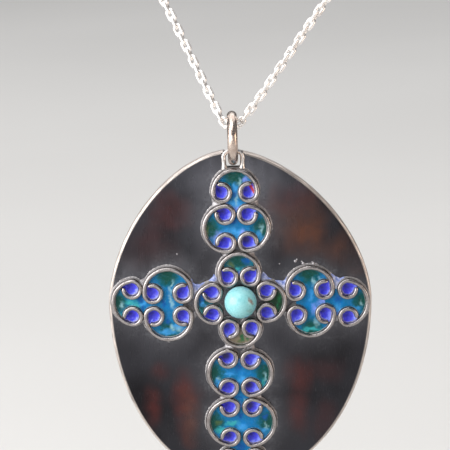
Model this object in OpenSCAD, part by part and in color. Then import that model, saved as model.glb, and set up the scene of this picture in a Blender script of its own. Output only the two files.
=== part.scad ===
// Enamel pendant on a cable chain: an egg-shaped silver plate, gently domed,
// with a cross of soldered wire scrolls that hold enamel, a turquoise bead
// where the arms meet, a wire hanging loop, a jump ring and a worn chain.
// Millimetres. X runs to the wearer's left as seen from the front, the front
// faces -Y and Z is up. The origin is where the chain lies on the nape.

/* [Plate] */
// Width of the plate at its widest line
plate_w = 40.2; // [39.8:0.1:42]
// Height of the plate above its widest line
plate_top = 23.3; // [23.2:0.05:24]
// Depth of the plate below its widest line
plate_bottom = 29.5; // [29.4:0.1:31]
// How far the widest line lies below the centre of the cross
plate_drop = 0.65; // [0.5:0.05:0.8]
// Fullness of the upper outline, where 2 is an ellipse and less is leaner
top_fullness = 1.71; // [1.7:0.01:1.9]
// Fullness of the lower outline
bottom_fullness = 2.0; // [1.95:0.01:2.1]
// How far the hand-cut outline wanders to the side at its top
top_lean = 1.0; // [0.8:0.05:1.2]
// How far it wanders to the side at its bottom
bottom_lean = 0.55; // [0.4:0.05:0.8]
// Thickness of the plate
plate_t = 1.3; // [1.1:0.1:1.5]
// Radius to which the plate is domed
dome_r = 150; // [140:5:200]

/* [Scrolls] */
// Thickness of the scroll wire, seen from the front
wire_w = 0.52; // [0.48:0.01:0.54]
// Height of the scroll wire above the plate
wire_h = 1.3; // [1.1:0.1:1.4]
// Radius of a curl, to the middle of its wire
curl_r = 1.3; // [1.28:0.01:1.32]

/* [Enamel] */
// Height of the enamel above the plate, at the wires
enamel_h = 0.8; // [0.6:0.05:0.9]
// Depth of the hollow in each enamel dot
dot_dish = 0.25; // [0.1:0.05:0.3]

/* [Bead] */
// Diameter of the turquoise bead
bead_d = 4.9; // [4.7:0.05:4.9]
// Height of the bead's middle above the plate
bead_rise = 2.1; // [2.1:0.1:2.3]

/* [Hanging] */
// Thickness of the hanging loop's round wire
loop_wire = 0.7; // [0.64:0.02:0.72]
// Width of the hanging loop, over its wire
loop_w = 3.6; // [3.6:0.1:3.8]
// Height of the middle of the loop's crown above the centre of the cross
loop_top = 22.6; // [22.5:0.05:22.65]
// Outer diameter of the jump ring
ring_d = 8.2; // [8.1:0.1:8.4]
// Thickness of the jump ring's wire
ring_wire = 1.55; // [1.45:0.05:1.55]

/* [Chain] */
// Width of the cable chain over its links
chain_w = 1.44; // [1.4:0.01:1.46]
// Length of the clasp's barrel
clasp_l = 7; // [6.5:0.1:7.5]
// Diameter of the clasp's barrel
clasp_d = 3; // [2.6:0.1:3.2]

/* [Hidden] */
$fn = 96;
// Finer rounds for the great spheres that shape the dome
dome_fn = 180;
outline_steps = 120;
// Gap left round every enamel fill and under it
seat = 0.03;
// Way that the corners of a fill draw back from those of the next fill
corner_back = 0.05;
// Play of the jump ring under the chain, and of the hanging loop on the ring
chain_play = 0.12;
loop_play = 0.25;
// Extra metal on a curl where it is soldered to its own arc
solder = 0.02;

// One row for each scroll: name, place of the middle between its curls across
// and up from the cross's centre, turn of its arc from straight up, distance
// between its curls, and height from there to the outside of its arc.
SCROLLS = [
    ["petal_top", -0.1, 3.55, 0, 3.35, 3.85],
    ["petal_left", -4.2, -0.5, 90, 3.45, 2.85],
    ["petal_bottom", -0.1, -4.5, 180, 3.4, 3.1],
    ["petal_right", 3.95, -0.45, 270, 3.45, 3.1],
    ["top_cell_left", -1.95, 11, 90, 4.35, 3.55],
    ["top_cell_right", 1.4, 11, 270, 4.2, 3.5],
    ["top_end", -0.35, 16.45, 0, 4.1, 3.65],
    ["left_cell_lower", -11, -2.35, 180, 4.45, 3.9],
    ["left_cell_upper", -11, 1.2, 0, 4.6, 4.05],
    ["left_end", -16.45, -0.2, 90, 4.25, 3.25],
    ["right_cell_upper", 10.6, 1.1, 0, 4.4, 3.8],
    ["right_cell_lower", 10.75, -2.7, 180, 4.4, 3.6],
    ["right_end", 16.4, -1.2, 270, 4.4, 3.3],
    ["bottom_cell_right", 1.3, -11.8, 270, 4.5, 3.45],
    ["bottom_cell_left", -2.15, -11.65, 90, 4.8, 3.3],
    ["low_cell_right", 1.4, -19.9, 270, 5.1, 3.65],
    ["low_cell_left", -2.1, -19.75, 90, 5, 3.65],
    ["bottom_end", -0.35, -25.7, 180, 4.1, 3.3],
];

// One row for each fill between the scrolls: name, the scrolls whose arcs close
// it, and the four curls at its corners, each as the scroll and its first curl,
// 0, or second, 1.
FIELDS = [
    ["petal_top", ["petal_top"], []],
    ["petal_left", ["petal_left"], []],
    ["petal_bottom", ["petal_bottom"], []],
    ["petal_right", ["petal_right"], []],
    ["top_cell", ["top_cell_left", "top_cell_right"], pair("top_cell_left", "top_cell_right")],
    ["top_end", ["top_end"], reach("top_end", "top_cell_left", "top_cell_right")],
    ["left_cell", ["left_cell_lower", "left_cell_upper"], pair("left_cell_lower", "left_cell_upper")],
    ["left_end", ["left_end"], reach("left_end", "left_cell_lower", "left_cell_upper")],
    ["right_cell", ["right_cell_upper", "right_cell_lower"], pair("right_cell_upper", "right_cell_lower")],
    ["right_end", ["right_end"], reach("right_end", "right_cell_upper", "right_cell_lower")],
    ["bottom_cell", ["bottom_cell_right", "bottom_cell_left"], pair("bottom_cell_right", "bottom_cell_left")],
    ["bottom_link", [], link("bottom_cell_right", "bottom_cell_left", "low_cell_right", "low_cell_left")],
    ["low_cell", ["low_cell_right", "low_cell_left"], pair("low_cell_right", "low_cell_left")],
    ["bottom_end", ["bottom_end"], reach("bottom_end", "low_cell_right", "low_cell_left")],
];

function pair(a, b) = [[a, 0], [a, 1], [b, 0], [b, 1]];
function reach(end, a, b) = [[end, 0], [end, 1], [b, 0], [a, 1]];
function link(a, b, next_a, next_b) = [[b, 0], [a, 1], [next_a, 0], [next_b, 1]];

function dot_name(s, side) = str("dot_", s[0], "_", side + 1);
function scroll(name) = SCROLLS[search([name], SCROLLS)[0]];

// Place, shape and curls of one scroll, from its row
function at(s) = [s[1], s[2]];
function turn(s) = s[3];
function spacing(s) = s[4];
function arc_top(s) = s[5] - wire_w / 2;
function arc_r(s) = (pow(spacing(s) / 2, 2) + pow(arc_top(s), 2) - pow(curl_r, 2)) / (2 * (arc_top(s) - curl_r));
function arc_rise(s) = arc_top(s) - arc_r(s);
function curl_at(s, side) = at(s) + (side - 0.5) * spacing(s) * [cos(turn(s)), sin(turn(s))];
curl_out = curl_r + wire_w / 2 + solder;
curl_in = curl_r - wire_w / 2 - solder;

// How far the dome has fallen back at a height above the cross's centre
function sag(up) = dome_r - sqrt(dome_r * dome_r - up * up);

// The hanging line: chain, jump ring, hanging loop and plate, top to bottom
chain_low = [-6, -108, -140];
loop_across = -0.5;
// How far the hanging loop stands in front of the plate, so that it hangs plumb
loop_forward = 0.32;
ring_in = ring_d / 2 - ring_wire;
ring_r = (ring_d - ring_wire) / 2;
ring_at = chain_low - [0, 0, ring_in - chain_w / 2 - chain_play];
loop_axis = ring_at - [0, 0, ring_in - loop_wire / 2 - loop_play];
plate_at = loop_axis - [loop_across, sag(loop_top) - loop_forward, loop_top];

// The chain's route from one side of the clasp round the front to the other,
// as places from its lowest point. The first and last lie by the clasp.
nape = -chain_low;
arm_left = [
    [-0.8, 0.03, 0.23], [-1.38, 0.25, 0.88], [-2.34, 0.95, 2.8], [-4.84, 2.9, 8.1], [-9.65, 6.6, 18.3],
    [-18.7, 13, 35], [-28.5, 20.5, 52], [-38, 30, 69], [-45.5, 43, 87], [-49.5, 58, 104],
    [-47.5, 75, 119], [-39.5, 90, 130.5], [-27, 101, 137], [-13, 106.6, 139.5],
];
arm_right = [
    [0.67, 0.02, 0.15], [1.2, 0.18, 0.58], [3, 0.9, 2.6], [6.9, 2.7, 7.6], [14.5, 6.4, 17.5],
    [27.3, 13, 33.3], [39.5, 21, 49], [50, 31.5, 65.5], [58.5, 45, 84], [62.5, 60, 101.5],
    [60.5, 76.5, 117.5], [52.5, 91, 129.5], [39.5, 101.5, 136.8], [25, 106.7, 139.5],
];

// The clasp's eyes, and how far the chain's ends stay from them
clasp_eye_r = 1;
clasp_eye_wire = 0.6;
clasp_reach = clasp_l / 2 + 2 * clasp_eye_r;
chain_gap = 0.15;
chain_end = nape - [clasp_reach + chain_w / 2 + chain_gap, 0, 0];
chain_start = nape + [clasp_reach + chain_w / 2 + chain_gap, 0, 0];

ROUTE = concat(
    [chain_end], [for (i = [len(arm_left) - 1 : -1 : 0]) arm_left[i]],
    [[0, 0, 0]], arm_right, [chain_start]
);

// Rings of the chain's tube between two route points: more where it is long
ring_spacing = 6.2;
function rings_between(a, b) = max(1, round(norm(b - a) / ring_spacing));

function unit(v) = v / norm(v);

// Direction of the chain at a route point, as of the circle through its neighbours
function route_way(i) =
    let (
        before = ROUTE[max(1, i)] - ROUTE[max(1, i) - 1],
        after = ROUTE[min(len(ROUTE) - 1, i + 1)] - ROUTE[min(len(ROUTE) - 2, i)]
    )
    unit(norm(after) * unit(before) + norm(before) * unit(after));

// A smooth curve through the route's points
function curve(i, t) =
    let (a = ROUTE[i], b = ROUTE[i + 1], span = norm(b - a), near = t * t * (3 - 2 * t))
    a + near * (b - a) + span * t * (1 - t) * ((1 - t) * route_way(i) - t * route_way(i + 1));
chain_path = concat(
    [for (i = [0 : len(ROUTE) - 2])
        let (n = rings_between(ROUTE[i], ROUTE[i + 1]))
        for (k = [0 : n - 1]) curve(i, k / n)],
    [ROUTE[len(ROUTE) - 1]]
);
chain_sides = 8;

function path_way(p, i) = unit(p[min(len(p) - 1, i + 1)] - p[max(0, i - 1)]);

// Sideways direction of each ring, carried along the path without twist
function carried(p, i) =
    let (way = path_way(p, i), before = i == 0 ? [0, 1, 0.1] : carried(p, i - 1))
    unit(before - (before * way) * way);

// Points of a closed outline on the plate, in two halves that meet at its widest line
function half_width(a, fullness) = sign(cos(a)) * pow(abs(cos(a)), 2 / fullness);
function half_reach(a, fullness) = pow(abs(sin(a)), 2 / fullness);
function outline_point(a) =
    let (
        upper = sin(a) >= 0,
        fullness = upper ? top_fullness : bottom_fullness,
        rise = half_reach(a, fullness),
        lean = (upper ? top_lean : bottom_lean) * rise * rise
    )
    [plate_w / 2 * half_width(a, fullness) - lean, (upper ? plate_top : -plate_bottom) * rise - plate_drop];

module plate_outline() {
    polygon([for (k = [0 : outline_steps - 1]) outline_point(360 * (k + 0.5) / outline_steps)]);
}

// Stands a flat shape up on the plate and keeps it between two heights over the dome
module on_dome(low, high) {
    front = 4;
    back = 8;
    intersection() {
        translate([0, back, 0]) rotate([90, 0, 0]) linear_extrude(front + back) children();
        translate([0, dome_r, 0]) difference() {
            sphere(dome_r + high, $fn = dome_fn);
            sphere(dome_r + low, $fn = dome_fn);
        }
    }
}

// The wedge in which an arc runs from one curl over the top to the other
module arc_wedge(s) {
    far = 20;
    start = atan2(-arc_rise(s), spacing(s) / 2);
    polygon([
        [0, 0], far * [cos(start), sin(start)], [far, far], [-far, far],
        far * [-cos(start), sin(start)],
    ]);
}

module scroll_shape(s) {
    translate(at(s)) rotate(turn(s)) {
        translate([0, arc_rise(s)]) intersection() {
            difference() {
                circle(arc_r(s) + wire_w / 2);
                circle(arc_r(s) - wire_w / 2);
            }
            arc_wedge(s);
        }
        for (side = [-1, 1])
            translate([side * spacing(s) / 2, 0]) difference() {
                circle(curl_out);
                circle(curl_in);
            }
    }
}

// The open side of a scroll, under its arc
module scroll_bay(s) {
    past = 0.05;
    bay = arc_r(s) - wire_w / 2 - seat;
    translate(at(s)) rotate(turn(s)) intersection() {
        translate([0, arc_rise(s)]) circle(bay);
        translate([-2 * bay, -past]) square([4 * bay, 4 * bay]);
    }
}

// Corners of a fill: the middles of its corner curls, drawn back towards its own middle
function field_corners(f) =
    let (
        curls = [for (c = f[2]) curl_at(scroll(c[0]), c[1])],
        middle = (curls[0] + curls[1] + curls[2] + curls[3]) / 4
    )
    [for (c = curls) c + corner_back * unit(middle - c)];

// One piece of a fill, clear of the curls round it
module field_piece(f) {
    curls = concat(
        [for (c = f[2]) curl_at(scroll(c[0]), c[1])],
        [for (name = f[1], side = [0, 1]) curl_at(scroll(name), side)]
    );
    on_dome(seat, enamel_h) difference() {
        children();
        for (c = curls) translate(c) circle(curl_out + seat);
    }
}

module notch_shape() {
    notch_bottom = 20.15;
    notch_w = loop_w - 1.5 * loop_wire;
    translate([loop_across - notch_w / 2, notch_bottom]) square([notch_w, plate_top]);
}

// The round wire arch that crosses the notch in the plate's top edge
module hanging_loop() {
    leg_foot = 19.9;
    bend = 1;
    flat = loop_w - loop_wire - 2 * bend;
    leg = loop_top - bend - leg_foot;
    translate([loop_across, sag(loop_top) - loop_forward, loop_top - bend]) {
        translate([-flat / 2, 0, bend]) rotate([0, 90, 0]) cylinder(d = loop_wire, h = flat);
        for (side = [-1, 1]) translate([side * flat / 2, 0, 0]) {
            rotate([90, 0, 0]) rotate([0, 0, side > 0 ? 0 : 90])
                rotate_extrude(angle = 90) translate([bend, 0]) circle(d = loop_wire);
            translate([side * bend, 0, -leg]) cylinder(d = loop_wire, h = leg);
        }
    }
}

module pendant_body() {
    root = 0.3;
    color("dimgray") translate(plate_at) union() {
        on_dome(-plate_t, 0) difference() {
            plate_outline();
            notch_shape();
        }
        on_dome(-root, wire_h) for (s = SCROLLS) scroll_shape(s);
        hanging_loop();
    }
}

module enamel_field(f) {
    color("deepskyblue") translate(plate_at) union() {
        for (name = f[1]) field_piece(f) scroll_bay(scroll(name));
        if (len(f[2]) > 0) field_piece(f) polygon(field_corners(f));
    }
}

// Turns what stands at the cross's centre about the dome's middle to another place
module tilt_to(place) {
    rise = asin(place[1] / dome_r);
    around = asin(place[0] / (dome_r * cos(rise)));
    translate([0, dome_r, 0]) rotate([-rise, 0, around]) translate([0, -dome_r, 0]) children();
}

module enamel_dot(s, side) {
    dot_r = curl_in - seat;
    dish_r = (dot_r * dot_r + dot_dish * dot_dish) / (2 * dot_dish);
    slab_r = 2;
    place = curl_at(s, side);
    color("mediumblue") translate(plate_at) difference() {
        intersection() {
            translate([place[0], 2 * slab_r, place[1]]) rotate([90, 0, 0]) cylinder(r = dot_r, h = 4 * slab_r);
            tilt_to(place) translate([0, -seat, 0]) rotate([90, 0, 0])
                cylinder(r = slab_r, h = enamel_h - seat);
        }
        tilt_to(place) translate([0, -enamel_h - dish_r + dot_dish, 0]) sphere(dish_r);
    }
}

module turquoise_bead() {
    color("paleturquoise") translate(plate_at) difference() {
        translate([0, -bead_rise, -0.1]) sphere(d = bead_d);
        translate([0, dome_r, 0]) sphere(dome_r + seat, $fn = dome_fn);
    }
}

module jump_ring() {
    color("silver") translate(ring_at) rotate([0, 90, 0])
        rotate_extrude() translate([ring_r, 0]) circle(d = ring_wire);
}

// The cable chain's outer form, round the neck and through the jump ring
module chain() {
    last = len(chain_path) - 1;
    corners = [for (i = [0 : last])
        let (way = path_way(chain_path, i), across = carried(chain_path, i), up = cross(way, across))
        for (k = [0 : chain_sides - 1])
            let (a = 360 * k / chain_sides)
            chain_path[i] + chain_w / 2 * (cos(a) * across + sin(a) * up)];
    walls = [for (i = [0 : last - 1], k = [0 : chain_sides - 1])
        let (a = i * chain_sides + k, b = i * chain_sides + (k + 1) % chain_sides)
        each [[a, a + chain_sides, b], [b, a + chain_sides, b + chain_sides]]];
    first_end = [for (k = [1 : chain_sides - 2]) [0, k, k + 1]];
    top = last * chain_sides;
    last_end = [for (k = [1 : chain_sides - 2]) [top, top + k + 1, top + k]];
    color("whitesmoke") translate(chain_low)
        polyhedron(points = corners, faces = concat(walls, first_end, last_end));
}

// Plain barrel clasp at the nape, with an eye at each end for the chain
module clasp() {
    waist = clasp_d * 0.7;
    bulge = (pow(clasp_l / 2, 2) + pow((clasp_d - waist) / 2, 2)) / (clasp_d - waist);
    color("silver") union() {
        rotate([0, 90, 0]) rotate_extrude() intersection() {
            translate([clasp_d / 2 - bulge, 0]) circle(bulge, $fn = 180);
            translate([0, -clasp_l / 2]) square([clasp_d, clasp_l]);
        }
        for (side = [-1, 1])
            translate([side * (clasp_l / 2 + clasp_eye_r - clasp_eye_wire / 2), 0, 0]) rotate([90, 0, 0])
                rotate_extrude() translate([clasp_eye_r, 0]) circle(d = clasp_eye_wire);
    }
}

pendant_body();
turquoise_bead();
jump_ring();
chain();
clasp();
for (f = FIELDS)
    enamel_field(f);
for (s = SCROLLS, side = [0, 1])
    enamel_dot(s, side);
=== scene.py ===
"""The looks of an enamel pendant on a worn cable chain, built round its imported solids.

Sizes are in millimetres, in the frame of the CAD row, until a mesh is handed to Blender
in metres. On the plate, a place is (across, up) from the centre of the cross, and a
height is counted outwards from the plate's domed front.
"""
import sys
import logging
from dataclasses import dataclass, field
from enum import Enum
from math import acos, atan2, ceil, copysign, cos, dist, exp, pi, radians, sin, sqrt
from typing import Iterable, Sequence

import bmesh
import bpy
import numpy as np
from mathutils import Matrix, Vector, noise
from mathutils.geometry import delaunay_2d_cdt


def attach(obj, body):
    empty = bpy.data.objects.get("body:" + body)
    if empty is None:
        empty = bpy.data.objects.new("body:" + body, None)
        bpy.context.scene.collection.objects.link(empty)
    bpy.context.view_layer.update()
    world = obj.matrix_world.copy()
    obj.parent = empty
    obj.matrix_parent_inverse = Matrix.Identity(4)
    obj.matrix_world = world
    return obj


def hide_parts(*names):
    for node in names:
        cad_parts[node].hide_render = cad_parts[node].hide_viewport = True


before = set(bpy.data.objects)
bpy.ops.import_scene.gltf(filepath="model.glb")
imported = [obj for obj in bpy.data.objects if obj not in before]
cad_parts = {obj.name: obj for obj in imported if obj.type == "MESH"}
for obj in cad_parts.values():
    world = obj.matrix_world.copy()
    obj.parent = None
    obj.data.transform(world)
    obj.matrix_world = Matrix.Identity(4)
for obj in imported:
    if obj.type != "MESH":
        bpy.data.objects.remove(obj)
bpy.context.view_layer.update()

LOG = logging.getLogger("pendant")
METRES = 0.001
TURN = 2 * pi
FAR = 99.0

Place = tuple[float, float]
Point = tuple[float, float, float]
Colour = tuple[float, float, float, float]
Face = tuple[int, ...]
Curl = tuple[str, int]
Array = np.ndarray
Socket = bpy.types.NodeSocket
Finish = bpy.types.Material
Piece = bpy.types.Object


class Body(Enum):
    """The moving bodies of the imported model."""

    NECKLACE = "necklace"
    RING = "ring"
    PENDANT = "pendant"


class Slot(Enum):
    """The record's material slots."""

    PLATE = "silver_plate"
    SILVER = "silver"
    CHAIN = "chain_silver"
    SKY = "blue_enamel"
    COBALT = "cobalt_enamel"
    TURQUOISE = "turquoise"


class Glaze(Enum):
    """The tints that run into the sky blue of the fired enamel, from the lowest coat up."""

    TEAL = "teal"
    FOREST = "forest"
    MOSS = "moss"
    UMBER = "umber"
    DEEP = "deep"
    LEAF = "leaf"
    OLIVE = "olive"
    AQUA = "aqua"
    AZURE = "azure"
    LAVENDER = "lavender"
    # pale streaks set where the glossy enamel catches the light: painted highlights
    PAINTED_HIGHLIGHT = "pale"

    @property
    def strength(self) -> float:
        """How fully a patch of the tint covers what lies under it."""
        thinner = {Glaze.PAINTED_HIGHLIGHT: 0.7, Glaze.AZURE: 0.75, Glaze.LAVENDER: 0.8, Glaze.OLIVE: 0.8}
        return thinner.get(self, 1.0)


class Tone(Enum):
    """The colours of the clouds on the plate: maroon, brown and grey, the grey near the top being painted
    reflection.
    """

    GREY = "grey"
    MAROON = "maroon"
    BROWN = "brown"


class Spill(Enum):
    """What ran out over the plate."""

    ENAMEL = "enamel"
    SOLDER = "solder"


def rgb(red: float, green: float, blue: float) -> Colour:
    """Turns a display colour into the light values that shaders take.

    Args:
        red: The red, 0 to 255.
        green: The green.
        blue: The blue.

    Returns:
        The colour as linear red, green, blue and a full alpha.
    """
    shares = (red / 255, green / 255, blue / 255)
    linear = [s / 12.92 if s <= 0.04045 else ((s + 0.055) / 1.055) ** 2.4 for s in shares]
    return (linear[0], linear[1], linear[2], 1.0)


def ease(value: Array, low: float, high: float) -> Array:
    """Eases values from 0 at low to 1 at high."""
    t = np.clip((value - low) / (high - low), 0, 1)
    return t * t * (3 - 2 * t)


class Wander(Enum):
    """Smooth wanders of handwork: how fast each changes across and up, and its own layer."""

    CURL_END_LEFT = (1.7, 1.7, 0)
    CURL_END_RIGHT = (1.7, 1.7, 1)
    PLATE_EDGE = (0.5, 0.5, 1)
    BEND_ACROSS = (0.9, 0.9, 3)
    BEND_UP = (0.9, 0.9, 4)
    SOLDER_FLOW = (0.6, 0.6, 5)
    SOLDER_EDGE = (4.5, 4.5, 6)
    WIRE_WIDTH = (1.5, 1.5, 7)
    CROWN_HEIGHT = (0.8, 0.8, 8)
    WEB_PULL = (1.8, 1.8, 9)
    WEB_LUMPS = (2.2, 2.2, 10)
    FIELD_LUMPS = (1.4, 1.4, 12)
    DOT_ACROSS = (1.0, 1.0, 13)
    DOT_UP = (1.0, 1.0, 14)
    DOT_DEPTH = (1.0, 1.0, 15)
    DOT_LUMPS = (3.0, 3.0, 16)
    LINK_ROLL = (0.37, 1.0, 17)
    LINING = (1.1, 1.1, 19)
    RUN_ACROSS = (1.3, 1.3, 20)
    RUN_ACROSS_FINE = (4.0, 4.0, 21)
    RUN_UP = (1.3, 1.3, 22)
    RUN_UP_FINE = (4.0, 4.0, 23)
    CLOUD = (0.2, 0.16, 24)
    CLOUD_EDGE = (0.6, 0.4, 25)

    def at(self, place: Sequence[float]) -> float:
        """Gives the wander at a place, between about -1 and 1 and the same in each run."""
        across, up, layer = self.value
        return noise.noise(Vector((across * place[0], up * place[1], 7.3 + 11.7 * layer)))

    def over(self, places: Array) -> Array:
        """Gives the wander at each of many places."""
        return np.array([self.at(p) for p in places])


def turned(places: Array, across: float, up: float, turn: float) -> tuple[Array, Array]:
    """Gives places as seen from a centre with axes of its own.

    Args:
        places: Places on the plate.
        across: The centre's place across.
        up: The centre's place up.
        turn: The turn of its axes, in degrees.

    Returns:
        The way along each of the two axes.
    """
    a = radians(turn)
    d = places - np.array([across, up])
    return d[:, 0] * cos(a) + d[:, 1] * sin(a), d[:, 1] * cos(a) - d[:, 0] * sin(a)


def spokes(count: int) -> list[float]:
    """Gives evenly spaced angles round a circle."""
    return [TURN * k / count for k in range(count)]


class Shell:
    """Points, faces and painted values that are gathered for one mesh."""

    def __init__(self) -> None:
        """Starts an empty shell."""
        self.points: list[Point] = []
        self.faces: list[Face] = []
        self.paint: dict[str, dict[int, float]] = {}

    def point(self, place: Sequence[float], **paint: float) -> int:
        """Adds one point.

        Args:
            place: The point in millimetres.
            **paint: Named values that the material reads at this point.

        Returns:
            The point's number.
        """
        index = len(self.points)
        self.points.append((float(place[0]), float(place[1]), float(place[2])))
        for name, value in paint.items():
            self.paint.setdefault(name, {})[index] = float(value)
        return index

    def strip(self, rings: Sequence[Sequence[int]], looped: bool = False, capped: bool = False) -> None:
        """Joins closed rings of equally many points with four-sided faces.

        Args:
            rings: The rings, each a list of point numbers.
            looped: Whether the last ring joins the first.
            capped: Whether the first and last ring are closed with one face each.
        """
        count = len(rings[0])
        for i in range(len(rings) - (0 if looped else 1)):
            a, b = rings[i], rings[(i + 1) % len(rings)]
            for k in range(count):
                n = (k + 1) % count
                self.faces.append((a[k], a[n], b[n], b[k]))
        if capped:
            self.faces += [tuple(rings[0]), tuple(rings[-1])]

    def fan(self, ring: Sequence[int], middle: int) -> None:
        """Closes a ring towards a middle point."""
        for k in range(len(ring)):
            self.faces.append((ring[k], ring[(k + 1) % len(ring)], middle))

    def build(self, name: str, finish: Finish, crease: float = 55.0) -> Piece:
        """Makes the Blender object.

        Args:
            name: The piece's name.
            finish: Its material.
            crease: The angle in degrees beyond which an edge stays sharp.

        Returns:
            The new object, in metres.
        """
        mesh = bpy.data.meshes.new(name)
        mesh.from_pydata((np.array(self.points) * METRES).tolist(), [], self.faces)
        for label, values in self.paint.items():
            layer = mesh.attributes.new(label, "FLOAT", "POINT")
            spread = np.zeros(len(self.points), np.float32)
            spread[list(values.keys())] = list(values.values())
            layer.data.foreach_set("value", spread)
        form = bmesh.new()
        form.from_mesh(mesh)
        bmesh.ops.recalc_face_normals(form, faces=form.faces)
        form.to_mesh(mesh)
        form.free()
        mesh.shade_smooth()
        mesh.set_sharp_from_angle(angle=radians(crease))
        mesh.materials.append(finish)
        piece = bpy.data.objects.new(name, mesh)
        bpy.context.scene.collection.objects.link(piece)
        return piece


def settle(piece: Piece, body: Body, slot: Slot, nodes: Iterable[str]) -> None:
    """Puts a piece on its body and hides the solids that it stands for.

    Args:
        piece: The finished piece.
        body: The body that it moves with.
        slot: The record's slot for its finish; not used.
        nodes: The CAD nodes that it replaces.
    """
    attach(piece, body.value)
    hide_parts(*nodes)
    LOG.info("%s: %d faces on %s", piece.name, len(piece.data.polygons), body.value)


def tube(
    shell: Shell, path: Sequence[Sequence[float]], radii: Sequence[float], sides: int, looped: bool
) -> None:
    """Sweeps a round wire along a path.

    Args:
        shell: The shell that takes the wire.
        path: The points of its middle line.
        radii: Its radius at each point.
        sides: Points round the wire.
        looped: Whether the path closes on itself.
    """
    upright_limit = 0.9
    line = np.array(path, float)
    ahead = np.roll(line, -1, 0) - np.roll(line, 1, 0)
    if not looped:
        ahead[0], ahead[-1] = line[1] - line[0], line[-1] - line[-2]
    ahead /= np.linalg.norm(ahead, axis=1)[:, None]
    spare = np.array([0.13, 0.21, 0.97]) if abs(ahead[0][2]) < upright_limit else np.array([0.9, 0.3, 0.1])
    across = spare - (spare @ ahead[0]) * ahead[0]
    rings = []
    for middle, way, radius in zip(line, ahead, radii):
        across = across - (across @ way) * way
        across /= np.linalg.norm(across)
        other = np.cross(way, across)
        rings.append([
            shell.point(middle + radius * (cos(a) * across + sin(a) * other)) for a in spokes(sides)
        ])
    shell.strip(rings, looped=looped, capped=not looped)


@dataclass(frozen=True)
class Grain:
    """A noise over a surface: feature size in millimetres, finer layers and what becomes 0 and 1."""

    size: float
    detail: float = 3.0
    low: float = 0.35
    high: float = 0.65
    seed: float = 0.0
    stretch: Point = (1, 1, 1)


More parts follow.
